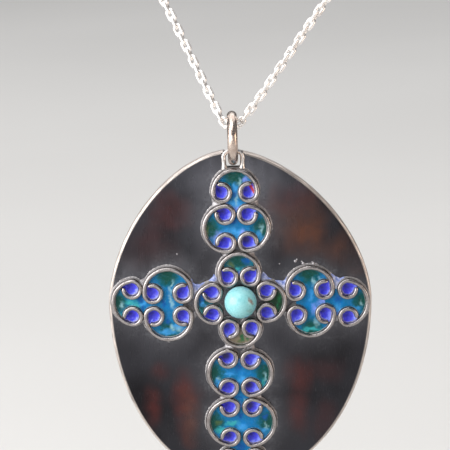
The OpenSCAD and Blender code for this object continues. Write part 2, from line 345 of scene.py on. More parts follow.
class Bench:
    """Lays out the nodes of one material round its Principled shader."""

    def __init__(self, name: str) -> None:
        """Starts a material.

        Args:
            name: Its name.
        """
        self.material = bpy.data.materials.new(name)
        self.material.use_nodes = True
        self.tree = self.material.node_tree
        self.shader = self.tree.nodes["Principled BSDF"]
        self.coords = self.node("ShaderNodeTexCoord").outputs["Object"]

    def node(self, kind: str, **settings: object) -> bpy.types.Node:
        """Adds a node.

        Args:
            kind: Blender's name of its kind.
            **settings: Its options.

        Returns:
            The new node.
        """
        made = self.tree.nodes.new(kind)
        for name, value in settings.items():
            setattr(made, name, value)
        return made

    def feed(self, socket: Socket, value: object) -> None:
        """Links a socket to another one, or gives it a plain value.

        Args:
            socket: The socket that takes it.
            value: The other socket or the value.
        """
        if isinstance(value, Socket):
            self.tree.links.new(value, socket)
        else:
            socket.default_value = value

    def put(self, **values: object) -> None:
        """Feeds the shader's sockets, with _ for a space in their names."""
        for name, value in values.items():
            self.feed(self.shader.inputs[name.replace("_", " ")], value)

    def work_out(self, operation: str, first: object, second: object, clamp: bool = False) -> Socket:
        """Adds a math node.

        Args:
            operation: Blender's name for it.
            first: The first value or socket.
            second: The second one.
            clamp: Whether the result is kept from 0 to 1.

        Returns:
            The result's socket.
        """
        made = self.node("ShaderNodeMath", operation=operation, use_clamp=clamp)
        self.feed(made.inputs[0], first)
        self.feed(made.inputs[1], second)
        return made.outputs[0]

    def times(self, first: object, second: object, clamp: bool = False) -> Socket:
        """Multiplies two values or sockets."""
        return self.work_out("MULTIPLY", first, second, clamp)

    def plus(self, first: object, second: object, clamp: bool = False) -> Socket:
        """Adds two values or sockets."""
        return self.work_out("ADD", first, second, clamp)

    def minus(self, first: object, second: object) -> Socket:
        """Takes the second value or socket from the first."""
        return self.work_out("SUBTRACT", first, second)

    def scaled(self, value: object, gain: float, base: float) -> Socket:
        """Multiplies a value by a gain and adds a base."""
        return self.plus(self.times(value, gain), base)

    def grain(self, grain: Grain, vector: Socket | None = None) -> Socket:
        """Adds a noise that is spread to run from 0 to 1.

        Args:
            grain: The kind of noise.
            vector: Coordinates to use in place of the object's.

        Returns:
            The value's socket.
        """
        if vector is None:
            scale = 1 / (grain.size * METRES)
            moved = self.node("ShaderNodeMapping")
            self.feed(moved.inputs["Vector"], self.coords)
            self.feed(moved.inputs["Scale"], tuple(scale * s for s in grain.stretch))
            self.feed(moved.inputs["Location"], (grain.seed, 2 * grain.seed, 3 * grain.seed))
            vector = moved.outputs[0]
        made = self.node("ShaderNodeTexNoise")
        self.feed(made.inputs["Vector"], vector)
        self.feed(made.inputs["Scale"], 1.0)
        self.feed(made.inputs["Detail"], grain.detail)
        spread = self.node("ShaderNodeMapRange")
        self.feed(spread.inputs["Value"], made.outputs[0])
        self.feed(spread.inputs["From Min"], grain.low)
        self.feed(spread.inputs["From Max"], grain.high)
        return spread.outputs[0]

    def eased(self, value: object, low: float, high: float, start: float, end: float) -> Socket:
        """Eases a value between two levels.

        Args:
            value: The value or socket.
            low: Where the easing begins.
            high: Where it is complete.
            start: The result up to low.
            end: The result from high on.

        Returns:
            The result's socket.
        """
        made = self.node("ShaderNodeMapRange", interpolation_type="SMOOTHSTEP")
        levels = {"Value": value, "From Min": low, "From Max": high, "To Min": start, "To Max": end}
        for label, level in levels.items():
            self.feed(made.inputs[label], level)
        return made.outputs[0]

    def rising(self, value: object, low: float, high: float) -> Socket:
        """Eases a value or socket from 0 at low to 1 at high."""
        return self.eased(value, low, high, 0.0, 1.0)

    def falling(self, value: object, low: float, high: float) -> Socket:
        """Eases a value or socket from 1 at low to 0 at high."""
        return self.eased(value, low, high, 1.0, 0.0)

    def mix(self, share: object, first: object, second: object) -> Socket:
        """Mixes two colours.

        Args:
            share: The share of the second colour, 0 to 1.
            first: The first colour or its socket.
            second: The second one.

        Returns:
            The colour's socket.
        """
        made = self.node("ShaderNodeMix", data_type="RGBA", clamp_factor=True)
        self.feed(made.inputs["Factor"], share)
        ends = [socket for socket in made.inputs if socket.type == "RGBA"]
        self.feed(ends[0], first)
        self.feed(ends[1], second)
        return next(socket for socket in made.outputs if socket.type == "RGBA")

    def coat(self, under: object, tint: object, cover: object, strength: float) -> Socket:
        """Lays a tint over a colour, as far as its cover and the coat's strength go."""
        return self.mix(self.times(cover, strength), under, tint)

    def ramp(self, value: object, stops: Sequence[tuple[float, Colour]]) -> Socket:
        """Runs a value through a colour ramp.

        Args:
            value: The value or socket, 0 to 1.
            stops: Place and colour of each stop.

        Returns:
            The colour's socket.
        """
        made = self.node("ShaderNodeValToRGB")
        self.feed(made.inputs[0], value)
        while len(made.color_ramp.elements) < len(stops):
            made.color_ramp.elements.new(1.0)
        for element, (place, colour) in zip(made.color_ramp.elements, stops):
            element.position = place
            element.color = colour
        return made.outputs[0]

    def read(self, name: str) -> Socket:
        """Reads a value painted on the mesh."""
        return self.node("ShaderNodeAttribute", attribute_name=name).outputs["Fac"]

    def bump(self, height: object, depth: float) -> None:
        """Presses a relief into the surface.

        Args:
            height: The relief's value, 0 to 1.
            depth: Its depth in millimetres.
        """
        made = self.node("ShaderNodeBump")
        self.feed(made.inputs["Height"], height)
        self.feed(made.inputs["Distance"], depth * METRES)
        self.put(Normal=made.outputs[0])


@dataclass(frozen=True)
class PlateSilver:
    """Dark polished sheet silver with maroon, brown and grey clouds and a bright filed rim; the grey clouds
    near the top are painted reflection.
    """

    dark: Colour = rgb(38, 37, 40)
    pale: Colour = rgb(58, 58, 63)
    haze: Colour = rgb(136, 137, 142)
    grey: Colour = rgb(104, 104, 110)
    maroon: Colour = rgb(92, 50, 48)
    brown: Colour = rgb(104, 68, 54)
    rim: Colour = rgb(226, 216, 208)
    rim_dull: Colour = rgb(150, 142, 138)
    broad: Grain = Grain(9, 2, 0.3, 0.7, 3)
    rolled: Grain = Grain(1.1, 4, 0.3, 0.7, 5, (1, 1, 0.12))
    mottle: Grain = Grain(2.6, 4, 0.32, 0.62, 11)
    fine_frost: Grain = Grain(0.4, 3, 0.4, 0.7, 17)
    broad_frost: Grain = Grain(2.2, 2, 0.45, 0.85, 29)
    scratches: Grain = Grain(0.11, 2, 0.62, 0.72, 23, (1, 1, 0.05))
    file_marks: Grain = Grain(1, 3, 0.36, 0.64)
    file_stretch: Place = (0.35, 7.0)
    mottle_depth: float = 0.55
    mottle_base: float = 0.45
    halo: float = 0.5
    scratch_tint: float = 0.07
    polish: float = 0.24
    rolled_rough: float = 0.1
    frost_rough: float = 0.3
    rim_rough: float = 0.16
    rim_oxide: float = 0.3
    scratch_relief: float = -0.04
    frost_relief: float = 0.25
    file_relief: float = 0.12
    relief_depth: float = 0.06

    def make(self) -> Finish:
        """Makes the material.

        Returns:
            The material.
        """
        bench = Bench("plate_silver")
        broad = bench.grain(self.broad)
        frost = bench.times(bench.grain(self.fine_frost), bench.grain(self.broad_frost))
        frost = bench.times(bench.read("haze"), frost, clamp=True)
        scratches = bench.grain(self.scratches)
        rim, filed = bench.read("rim"), self.filed(bench)
        bright = bench.mix(filed, self.rim, self.rim_dull)
        colour = bench.mix(rim, bench.mix(frost, self.clouded(bench, broad), self.haze), bright)
        rough = bench.scaled(bench.grain(self.rolled), self.rolled_rough, self.polish)
        rough = bench.plus(rough, bench.times(frost, self.frost_rough), clamp=True)
        rough = bench.plus(rough, bench.times(rim, self.rim_rough), clamp=True)
        bench.put(
            Base_Color=bench.coat(colour, self.haze, scratches, self.scratch_tint),
            Metallic=bench.minus(1.0, bench.times(rim, self.rim_oxide)),
            Roughness=rough,
        )
        relief = bench.plus(broad, bench.times(scratches, self.scratch_relief))
        relief = bench.plus(relief, bench.times(frost, self.frost_relief))
        relief = bench.plus(relief, bench.times(bench.times(filed, rim), self.file_relief))
        bench.bump(relief, self.relief_depth)
        return bench.material

    def clouded(self, bench: Bench, broad: Socket) -> Socket:
        """Gives the sheet's colour under its maroon, brown and grey clouds, the grey near the top being
        painted reflection, and under the grey halo of the wires.

        Args:
            bench: The bench of the material.
            broad: The broad change from dark to pale, 0 to 1.

        Returns:
            The colour's socket.
        """
        colour = bench.mix(broad, self.dark, self.pale)
        uneven = bench.scaled(bench.grain(self.mottle), self.mottle_depth, self.mottle_base)
        tones = {Tone.GREY: self.grey, Tone.MAROON: self.maroon, Tone.BROWN: self.brown}
        # the grey clouds near the top of the plate are painted reflection
        for tone, cloud_colour in tones.items():
            colour = bench.mix(bench.times(bench.read(tone.value), uneven), colour, cloud_colour)
        near_wires = bench.work_out("POWER", bench.read("haze"), 0.5)
        return bench.coat(colour, self.grey, near_wires, self.halo)

    def filed(self, bench: Bench) -> Socket:
        """Lays file marks along the rim.

        Args:
            bench: The bench of the material.

        Returns:
            The marks' value, 0 to 1.
        """
        joined = bench.node("ShaderNodeCombineXYZ")
        for socket, label, stretch in zip(joined.inputs, ("along", "down"), self.file_stretch):
            bench.feed(socket, bench.times(bench.read(label), stretch))
        return bench.grain(self.file_marks, joined.outputs[0])


@dataclass(frozen=True)
class WorkedSilver:
    """Silver of rings, links and clasp: bright, with duller patches."""

    name: str
    bright: Colour
    dull: Colour
    roughness: float = 0.25
    spread: float = 0.15
    grain_size: float = 0.5
    depth: float = 0.012
    satin: float = 0.0
    dulling: float = 0.7

    def make(self) -> Finish:
        """Makes the material.

        Returns:
            The material.
        """
        bench = Bench(self.name)
        patches = bench.grain(Grain(2.4 * self.grain_size, 4, 0.38, 0.68, 2))
        fine = bench.grain(Grain(0.3 * self.grain_size, 4, 0.3, 0.7, 9))
        bench.put(
            Base_Color=bench.coat(self.bright, self.dull, patches, self.dulling),
            Metallic=1 - self.satin,
            Roughness=bench.scaled(fine, self.spread, self.roughness),
        )
        bench.bump(bench.plus(patches, bench.times(fine, 0.5)), self.depth)
        return bench.material


@dataclass(frozen=True)
class WireSilver:
    """Soldered wire: rubbed bright on its crown, grey-brown on its walls, partly oxide and partly painted
    shade, frosted with solder at its foot.
    """

    crown: Colour = rgb(168, 163, 163)
    wall: Colour = rgb(112, 104, 99)
    solder: Colour = rgb(206, 204, 206)
    solder_dull: Colour = rgb(122, 116, 114)
    patches: Grain = Grain(0.9, 4, 0.36, 0.66, 2)
    fine: Grain = Grain(0.1, 4, 0.3, 0.7, 9)
    granules: Grain = Grain(0.17, 5, 0.34, 0.66, 14)
    level_wander: float = 0.14
    foot_levels: Place = (0.6, 0.78)
    wear_and_shade_levels: Place = (0.8, 0.96)
    patch_tint: float = 0.5
    polish: float = 0.2
    fine_rough: float = 0.1
    foot_rough: float = 0.2
    foot_oxide: float = 0.5
    fine_relief: float = 0.4
    relief_depth: float = 0.022

    def make(self) -> Finish:
        """Makes the material.

        Returns:
            The material.
        """
        bench = Bench("wire_silver")
        patches, fine, granules = (bench.grain(g) for g in (self.patches, self.fine, self.granules))
        uneven = bench.times(bench.minus(patches, 0.5), self.level_wander)
        level = bench.plus(bench.read("rise"), uneven)
        foot = bench.falling(level, *self.foot_levels)
        # darker walls below the crown: partly oxide in the hollows, partly painted shade
        colour = bench.mix(bench.rising(level, *self.wear_and_shade_levels), self.wall, self.crown)
        colour = bench.coat(colour, self.wall, patches, self.patch_tint)
        rough = bench.scaled(fine, self.fine_rough, self.polish)
        bench.put(
            Base_Color=bench.mix(foot, colour, bench.mix(granules, self.solder_dull, self.solder)),
            Metallic=bench.minus(1.0, bench.times(foot, self.foot_oxide)),
            Roughness=bench.plus(rough, bench.times(foot, self.foot_rough), clamp=True),
        )
        relief = bench.plus(patches, bench.times(fine, self.fine_relief))
        bench.bump(bench.plus(relief, bench.times(granules, foot)), self.relief_depth)
        return bench.material


@dataclass(frozen=True)
class FieldEnamel:
    """Glossy enamel of the fields: sky blue, with the tints painted on each mesh run into it; the pale tint
    is a painted highlight.
    """

    sky: Colour = rgb(6, 112, 180)
    sky_deep: Colour = rgb(4, 104, 158)
    speck: Colour = rgb(150, 190, 215)
    tints: tuple[tuple[Glaze, Colour], ...] = (
        (Glaze.TEAL, rgb(0, 92, 112)),
        (Glaze.FOREST, rgb(0, 66, 58)),
        (Glaze.MOSS, rgb(20, 50, 30)),
        (Glaze.UMBER, rgb(128, 116, 100)),
        (Glaze.DEEP, rgb(0, 78, 148)),
        (Glaze.LEAF, rgb(10, 92, 54)),
        (Glaze.OLIVE, rgb(74, 96, 56)),
        (Glaze.AQUA, rgb(50, 156, 162)),
        (Glaze.AZURE, rgb(62, 152, 220)),
        (Glaze.LAVENDER, rgb(126, 150, 236)),
        # the pale tint: painted highlight
        (Glaze.PAINTED_HIGHLIGHT, rgb(136, 180, 190)),
    )
    depth_grain: Grain = Grain(1.2, 3, 0.3, 0.7, 4)
    specks: Grain = Grain(0.11, 2, 0.64, 0.72, 15)
    ripples: Grain = Grain(0.5, 3, 0.2, 0.8, 21)
    edge_size: float = 0.45
    edge_seed: int = 8
    edge_gain: float = 0.5
    edge_base: float = 0.75
    speck_strength: float = 0.25
    gloss: float = 0.2
    ripple_depth: float = 0.05

    def make(self) -> Finish:
        """Makes the material.

        Returns:
            The material.
        """
        bench = Bench("field_enamel")
        colour = bench.mix(bench.grain(self.depth_grain), self.sky, self.sky_deep)
        for seed, (glaze, tint) in enumerate(self.tints, self.edge_seed):
            edge = bench.grain(Grain(self.edge_size, 3, 0.3, 0.7, seed))
            ragged = bench.scaled(edge, self.edge_gain, self.edge_base)
            share = bench.times(bench.read(glaze.value), ragged, clamp=True)
            colour = bench.mix(share, colour, tint)
        colour = bench.coat(colour, self.speck, bench.grain(self.specks), self.speck_strength)
        bench.put(Base_Color=colour, Roughness=self.gloss, Specular_IOR_Level=0.2)
        bench.bump(bench.grain(self.ripples), self.ripple_depth)
        return bench.material


@dataclass(frozen=True)
class CobaltEnamel:
    """Dark blue enamel of the curls, deeper in colour where it lies thicker, with painted shade at each dot's
    upper left and a pale painted highlight at its lower right.
    """

    # the palest stop gives the painted highlight crescent at each dot's lower right
    stops: tuple[tuple[float, Colour], ...] = (
        (0.0, rgb(26, 24, 132)), (0.3, rgb(46, 44, 190)), (0.72, rgb(68, 70, 224)), (1.0, rgb(132, 146, 244))
    )
    burnt: Colour = rgb(30, 22, 40)
    red: Colour = rgb(170, 26, 30)
    clouding: Grain = Grain(0.5, 3, 0.3, 0.7, 6)
    ripples: Grain = Grain(0.35, 3, 0.2, 0.8, 31)
    cloud_depth: float = 0.3
    burnt_strength: float = 0.8
    gloss: float = 0.2
    ripple_depth: float = 0.035

    def make(self) -> Finish:
        """Makes the material.

        Returns:
            The material.
        """
        bench = Bench("cobalt_enamel")
        cloud = bench.times(bench.minus(bench.grain(self.clouding), 0.5), self.cloud_depth)
        # the painted spread holds the enamel's depth together with painted shade and a painted highlight
        colour = bench.ramp(bench.plus(bench.read("spread"), cloud, clamp=True), self.stops)
        colour = bench.coat(colour, self.burnt, bench.read("burnt"), self.burnt_strength)
        colour = bench.mix(bench.read("red"), colour, self.red)
        bench.put(Base_Color=colour, Roughness=self.gloss, Specular_IOR_Level=0.35)
        bench.bump(bench.grain(self.ripples), self.ripple_depth)
        return bench.material


@dataclass(frozen=True)
class Spot:
    """A spot in the stone: its place from the bead's middle, half widths and lean in degrees."""

    place: Point
    widths: Point
    lean: float


@dataclass(frozen=True)
class Turquoise:
    """Pale polished turquoise with a brown fleck, a little grey-green matrix and painted shade towards the
    lower right.
    """

    middle: Point
    fleck: Spot = Spot((1.54, -1.82, 0.58), (0.27, 0.9, 0.78), -32)
    matrix: Spot = Spot((1.42, -1.72, -1.0), (0.75, 0.9, 0.4), 35)
    stone: Colour = rgb(128, 194, 199)
    stone_pale: Colour = rgb(140, 201, 206)
    vein_tint: Colour = rgb(94, 168, 170)
    matrix_tint: Colour = rgb(120, 150, 138)
    painted_shade_tint: Colour = rgb(84, 150, 150)
    fleck_tint: Colour = rgb(112, 100, 96)
    broad: Grain = Grain(1.6, seed=1)
    veins: Grain = Grain(0.25, 4, 0.5, 0.75, 7)
    ragged_edge: Grain = Grain(0.3, 4, 0.3, 0.7, 3)
    wear: Grain = Grain(0.4, seed=5)
    dents: Grain = Grain(0.9, 2, 0.3, 0.7, 9)
    vein_strength: float = 0.1
    matrix_strength: float = 0.5
    painted_shade_strength: float = 0.6
    fleck_strength: float = 0.92
    gloss: float = 0.24
    wear_rough: float = 0.08
    dent_depth: float = 0.012

    def spot(self, bench: Bench, spot: Spot) -> Socket:
        """Measures how near the surface is to a spot.

        Args:
            bench: The bench of the material.
            spot: The spot.

        Returns:
            A value of 1 in the spot and 0 outside it.
        """
        moved = bench.node("ShaderNodeMapping", vector_type="TEXTURE")
        bench.feed(moved.inputs["Vector"], bench.coords)
        centre = tuple(METRES * (m + p) for m, p in zip(self.middle, spot.place))
        bench.feed(moved.inputs["Location"], centre)
        bench.feed(moved.inputs["Rotation"], (0, radians(spot.lean), 0))
        bench.feed(moved.inputs["Scale"], tuple(METRES * w for w in spot.widths))
        size = bench.node("ShaderNodeVectorMath", operation="LENGTH")
        bench.feed(size.inputs[0], moved.outputs[0])
        ragged = bench.times(bench.grain(self.ragged_edge), 0.7)
        return bench.falling(bench.plus(size.outputs["Value"], ragged), 0.8, 1.5)

    def make(self) -> Finish:
        """Makes the material.

        Returns:
            The material.
        """
        bench = Bench("turquoise")
        colour = bench.mix(bench.grain(self.broad), self.stone, self.stone_pale)
        colour = bench.coat(colour, self.vein_tint, bench.grain(self.veins), self.vein_strength)
        matrix = self.spot(bench, self.matrix)
        colour = bench.coat(colour, self.matrix_tint, matrix, self.matrix_strength)
        # painted shade: the stone's colour darkened towards its lower right, away from the key light
        colour = bench.coat(colour, self.painted_shade_tint, bench.read("painted_shade"), self.painted_shade_strength)
        fleck = self.spot(bench, self.fleck)
        colour = bench.coat(colour, self.fleck_tint, fleck, self.fleck_strength)
        rough = bench.scaled(bench.grain(self.wear), self.wear_rough, self.gloss)
        bench.put(Base_Color=colour, Roughness=rough, Specular_IOR_Level=0.7)
        bench.bump(bench.minus(bench.grain(self.dents), fleck), self.dent_depth)
        return bench.material


@dataclass(frozen=True)
class SpilledEnamel:
    """Pale lavender enamel that ran out between the wires, whiter where it climbs."""

    stops: tuple[tuple[float, Colour], ...] = (
        (0.0, rgb(92, 112, 176)), (0.5, rgb(136, 150, 206)), (1.0, rgb(196, 200, 222))
    )
    white: Colour = rgb(218, 220, 232)
    streaks: Grain = Grain(0.35, 4, 0.3, 0.7, 2)
    ragged_edge: Grain = Grain(0.4, 4, 0.0, 1.0, 12)
    ripples: Grain = Grain(0.3, 3, 0.2, 0.8, 6)
    white_levels: Place = (0.7, 1.2)
    white_strength: float = 0.7
    gloss: float = 0.3
    ripple_depth: float = 0.02

    def make(self) -> Finish:
        """Makes the material.

        Returns:
            The material.
        """
        bench = Bench("spilled_enamel")
        climbed = bench.plus(bench.read("rise"), bench.grain(self.ragged_edge))
        white = bench.rising(climbed, *self.white_levels)
        colour = bench.ramp(bench.grain(self.streaks), self.stops)
        colour = bench.coat(colour, self.white, white, self.white_strength)
        bench.put(Base_Color=colour, Roughness=self.gloss)
        bench.bump(bench.grain(self.ripples), self.ripple_depth)
        return bench.material


@dataclass(frozen=True)
class FloorPaint:
    """Plain pale paint of the studio floor."""

    paint: Colour = rgb(208, 207, 205)
    paint_pale: Colour = rgb(211, 210, 208)
    broad: Grain = Grain(220, 2, seed=1)
    roughness: float = 0.85

    def make(self) -> Finish:
        """Makes the material.

        Returns:
            The material.
        """
        bench = Bench("floor_paint")
        colour = bench.mix(bench.grain(self.broad), self.paint, self.paint_pale)
        bench.put(Base_Color=colour, Roughness=self.roughness)
        return bench.material


@dataclass(frozen=True)
class Dome:
    """The plate's domed front and where it hangs."""

    radius: float = 150.0
    across: float = -5.5
    back: float = -109.3923
    up: float = -166.26

    def point(self, across: float, up: float, height: float) -> Point:
        """Gives the point at a place on the plate and a height above its front."""
        sag = self.radius - sqrt((self.radius + height) ** 2 - across * across - up * up)
        return (self.across + across, self.back + sag, self.up + up)


@dataclass(frozen=True)
class Wire:
    """The scroll wire: flattened, stood on edge and rounded along its top."""

    width: float = 0.52
    height: float = 1.3
    root: float = -0.2
    curl_r: float = 1.3
    crown: float = 0.22
    crown_half: float = 0.29
    swell: float = 0.08
    crown_steps: int = 8
    past_line: float = 0.05

    @property
    def half(self) -> float:
        """Half the wire's width."""
        return self.width / 2


DOME = Dome()
WIRE = Wire()


@dataclass(frozen=True)
class Scroll:
    """One scroll: an arc whose two ends curl inwards and end against it."""

    name: str
    across: float
    up: float
    turn: float
    spacing: float
    height: float

    @property
    def arc_r(self) -> float:
        """Radius of the arc's middle line."""
        top = self.height - WIRE.half
        return ((self.spacing / 2) ** 2 + top**2 - WIRE.curl_r**2) / (2 * (top - WIRE.curl_r))

    @property
    def arc_rise(self) -> float:
        """How far the arc's centre lies above the line between the curls."""
        return self.height - WIRE.half - self.arc_r

    @property
    def start(self) -> float:
        """The angle at which the arc becomes the right-hand curl."""
        return atan2(-self.arc_rise, self.spacing / 2)

    def placed(self, x: float, y: float) -> Place:
        """Turns a point of the scroll's own frame into a place on the plate."""
        a = radians(self.turn)
        return self.across + x * cos(a) - y * sin(a), self.up + x * sin(a) + y * cos(a)

    def own(self, places: Array) -> Array:
        """Turns places on the plate into points of the scroll's own frame."""
        return np.stack(turned(places, self.across, self.up, self.turn), 1)

    def curl(self, side: int) -> Place:
        """Gives the middle of the first curl, 0, or the second, 1."""
        return self.placed((side - 0.5) * self.spacing, 0)

    def tail(self, side: int) -> float:
        """Measures how far short of a full round a curl's end meets the arc.

        Args:
            side: 0 for the left-hand curl and 1 for the right-hand one.

        Returns:
            The angle.
        """
        r, c, touch = self.arc_r, WIRE.curl_r, WIRE.width * 0.9
        cosine = ((r - touch) ** 2 - (r - c) ** 2 - c * c) / (2 * c * (r - c))
        wander = (Wander.CURL_END_LEFT, Wander.CURL_END_RIGHT)[side].at((self.across, self.up))
        return acos(max(-1.0, min(1.0, cosine))) + 0.12 * (1 + wander)

    def arc_room(self, places: Array) -> Array:
        """Measures how far places lie inside the arc's inner wall."""
        own = self.own(places)
        return self.arc_r - WIRE.half - np.hypot(own[:, 0], own[:, 1] - self.arc_rise)

    def bay(self, places: Array, under: float) -> Array:
        """Measures how far places lie inside the space under the arc, which runs under the wire."""
        return np.minimum(self.arc_room(places) + under, self.own(places)[:, 1] + WIRE.past_line)

    def wire_gap(self, places: Array) -> Array:
        """Measures the distance from places to the middle line of the wire.

        Args:
            places: Places on the plate.

        Returns:
            The distances.
        """
        own = self.own(places)
        from_arc = np.abs(np.hypot(own[:, 0], own[:, 1] - self.arc_rise) - self.arc_r)
        angle = np.arctan2(own[:, 1] - self.arc_rise, np.abs(own[:, 0]))
        from_arc = np.where(angle >= self.start, from_arc, FAR)
        from_curl = np.abs(np.hypot(np.abs(own[:, 0]) - self.spacing / 2, own[:, 1]) - WIRE.curl_r)
        return np.minimum(from_arc, from_curl)

    def half_path(self, side: int) -> list[Place]:
        """Follows the wire from the top of the arc to the end of one curl.

        Args:
            side: 0 for the left-hand curl and 1 for the right-hand one.

        Returns:
            Points in the scroll's own frame.
        """
        step = 0.14
        path = []
        swing = pi / 2 - self.start
        count = round(swing * self.arc_r / step)
        for k in range(count):
            a = pi / 2 - swing * k / count
            path.append((self.arc_r * cos(a), self.arc_rise + self.arc_r * sin(a)))
        round_off = TURN - self.tail(side)
        count = round(round_off * WIRE.curl_r / step)
        for k in range(count + 1):
            a = self.start - round_off * k / count
            path.append((self.spacing / 2 + WIRE.curl_r * cos(a), WIRE.curl_r * sin(a)))
        return path if side else [(-x, y) for x, y in path]


SCROLLS = {
    s.name: s
    for s in (
        Scroll("petal_top", -0.1, 3.55, 0, 3.35, 3.85),
        Scroll("petal_left", -4.2, -0.5, 90, 3.45, 2.85),
        Scroll("petal_bottom", -0.1, -4.5, 180, 3.4, 3.1),
        Scroll("petal_right", 3.95, -0.45, 270, 3.45, 3.1),
        Scroll("top_cell_left", -1.95, 11, 90, 4.35, 3.55),
        Scroll("top_cell_right", 1.4, 11, 270, 4.2, 3.5),
        Scroll("top_end", -0.35, 16.45, 0, 4.1, 3.65),
        Scroll("left_cell_lower", -11, -2.35, 180, 4.45, 3.9),
        Scroll("left_cell_upper", -11, 1.2, 0, 4.6, 4.05),
        Scroll("left_end", -16.45, -0.2, 90, 4.25, 3.25),
        Scroll("right_cell_upper", 10.6, 1.1, 0, 4.4, 3.8),
        Scroll("right_cell_lower", 10.75, -2.7, 180, 4.4, 3.6),
        Scroll("right_end", 16.4, -1.2, 270, 4.4, 3.3),
        Scroll("bottom_cell_right", 1.3, -11.8, 270, 4.5, 3.45),
        Scroll("bottom_cell_left", -2.15, -11.65, 90, 4.8, 3.3),
        Scroll("low_cell_right", 1.4, -19.9, 270, 5.1, 3.65),
        Scroll("low_cell_left", -2.1, -19.75, 90, 5, 3.65),
        Scroll("bottom_end", -0.35, -25.7, 180, 4.1, 3.3),
    )
}


def gap_to_wires(places: Array) -> Array:
    """Measures the distance from places on the plate to the nearest scroll wire."""
    return np.min([s.wire_gap(places) for s in SCROLLS.values()], axis=0) - WIRE.half


@dataclass(frozen=True)
class Cloud:
    """One cloud of colour on the plate; grey ones near the top are painted reflection."""

    tone: Tone
    across: float
    up: float
    half_width: float
    half_height: float
    strength: float
    lean: float = 0.0
    fine_wander: float = 0.4
    edge_wander: float = 0.6
    soft_end: float = 1.3

    def at(self, places: Array) -> Array:
        """Measures the cloud's strength.

        Args:
            places: Places on the plate.

        Returns:
            The strengths, 0 to 1.
        """
        wander = Wander.CLOUD.over(places) + self.fine_wander * Wander.CLOUD_EDGE.over(places)
        x, y = turned(places, self.across, self.up, self.lean)
        out = np.hypot(x / self.half_width, y / self.half_height)
        return self.strength * (1 - ease(out * (1 + self.edge_wander * wander), 0, self.soft_end))


CLOUDS = (
    # the first two grey clouds lighten the top of the plate: painted reflection
    Cloud(Tone.GREY, -5.5, 18.2, 4.0, 4.0, 0.3),
    Cloud(Tone.GREY, 4.8, 18.4, 4.0, 4.0, 0.3),
    Cloud(Tone.GREY, -8.2, 5.4, 3.2, 2.2, 0.4),
    Cloud(Tone.GREY, -16.4, 4.6, 2.6, 2.6, 0.4),
    Cloud(Tone.BROWN, 9.8, 10.4, 6.2, 4.8, 0.95, -35),
    Cloud(Tone.BROWN, 14.4, 7.4, 3.6, 3.2, 0.6),
    Cloud(Tone.MAROON, 8.2, 14.6, 3.8, 3.2, 0.55),
    Cloud(Tone.MAROON, -10.2, 13.2, 3.2, 3.6, 0.5),
    Cloud(Tone.MAROON, -13.0, 8.4, 4.6, 4.2, 0.35),
    Cloud(Tone.MAROON, -8.8, -16.6, 2.4, 6.4, 1.0),
    Cloud(Tone.BROWN, -8.2, -19.0, 1.8, 4.4, 0.55),
    Cloud(Tone.MAROON, -12.6, -11.2, 2.0, 2.4, 0.6),
    Cloud(Tone.MAROON, -13.8, -17.2, 1.6, 3.8, 0.9),
    Cloud(Tone.MAROON, 8.8, -13.0, 2.6, 3.8, 0.7),
    Cloud(Tone.MAROON, 8.4, -18.2, 2.2, 4.6, 0.7),
    Cloud(Tone.MAROON, 13.2, -12.0, 3.0, 2.6, 0.35),
    Cloud(Tone.MAROON, 12.4, -20.0, 2.2, 3.6, 0.35),
)


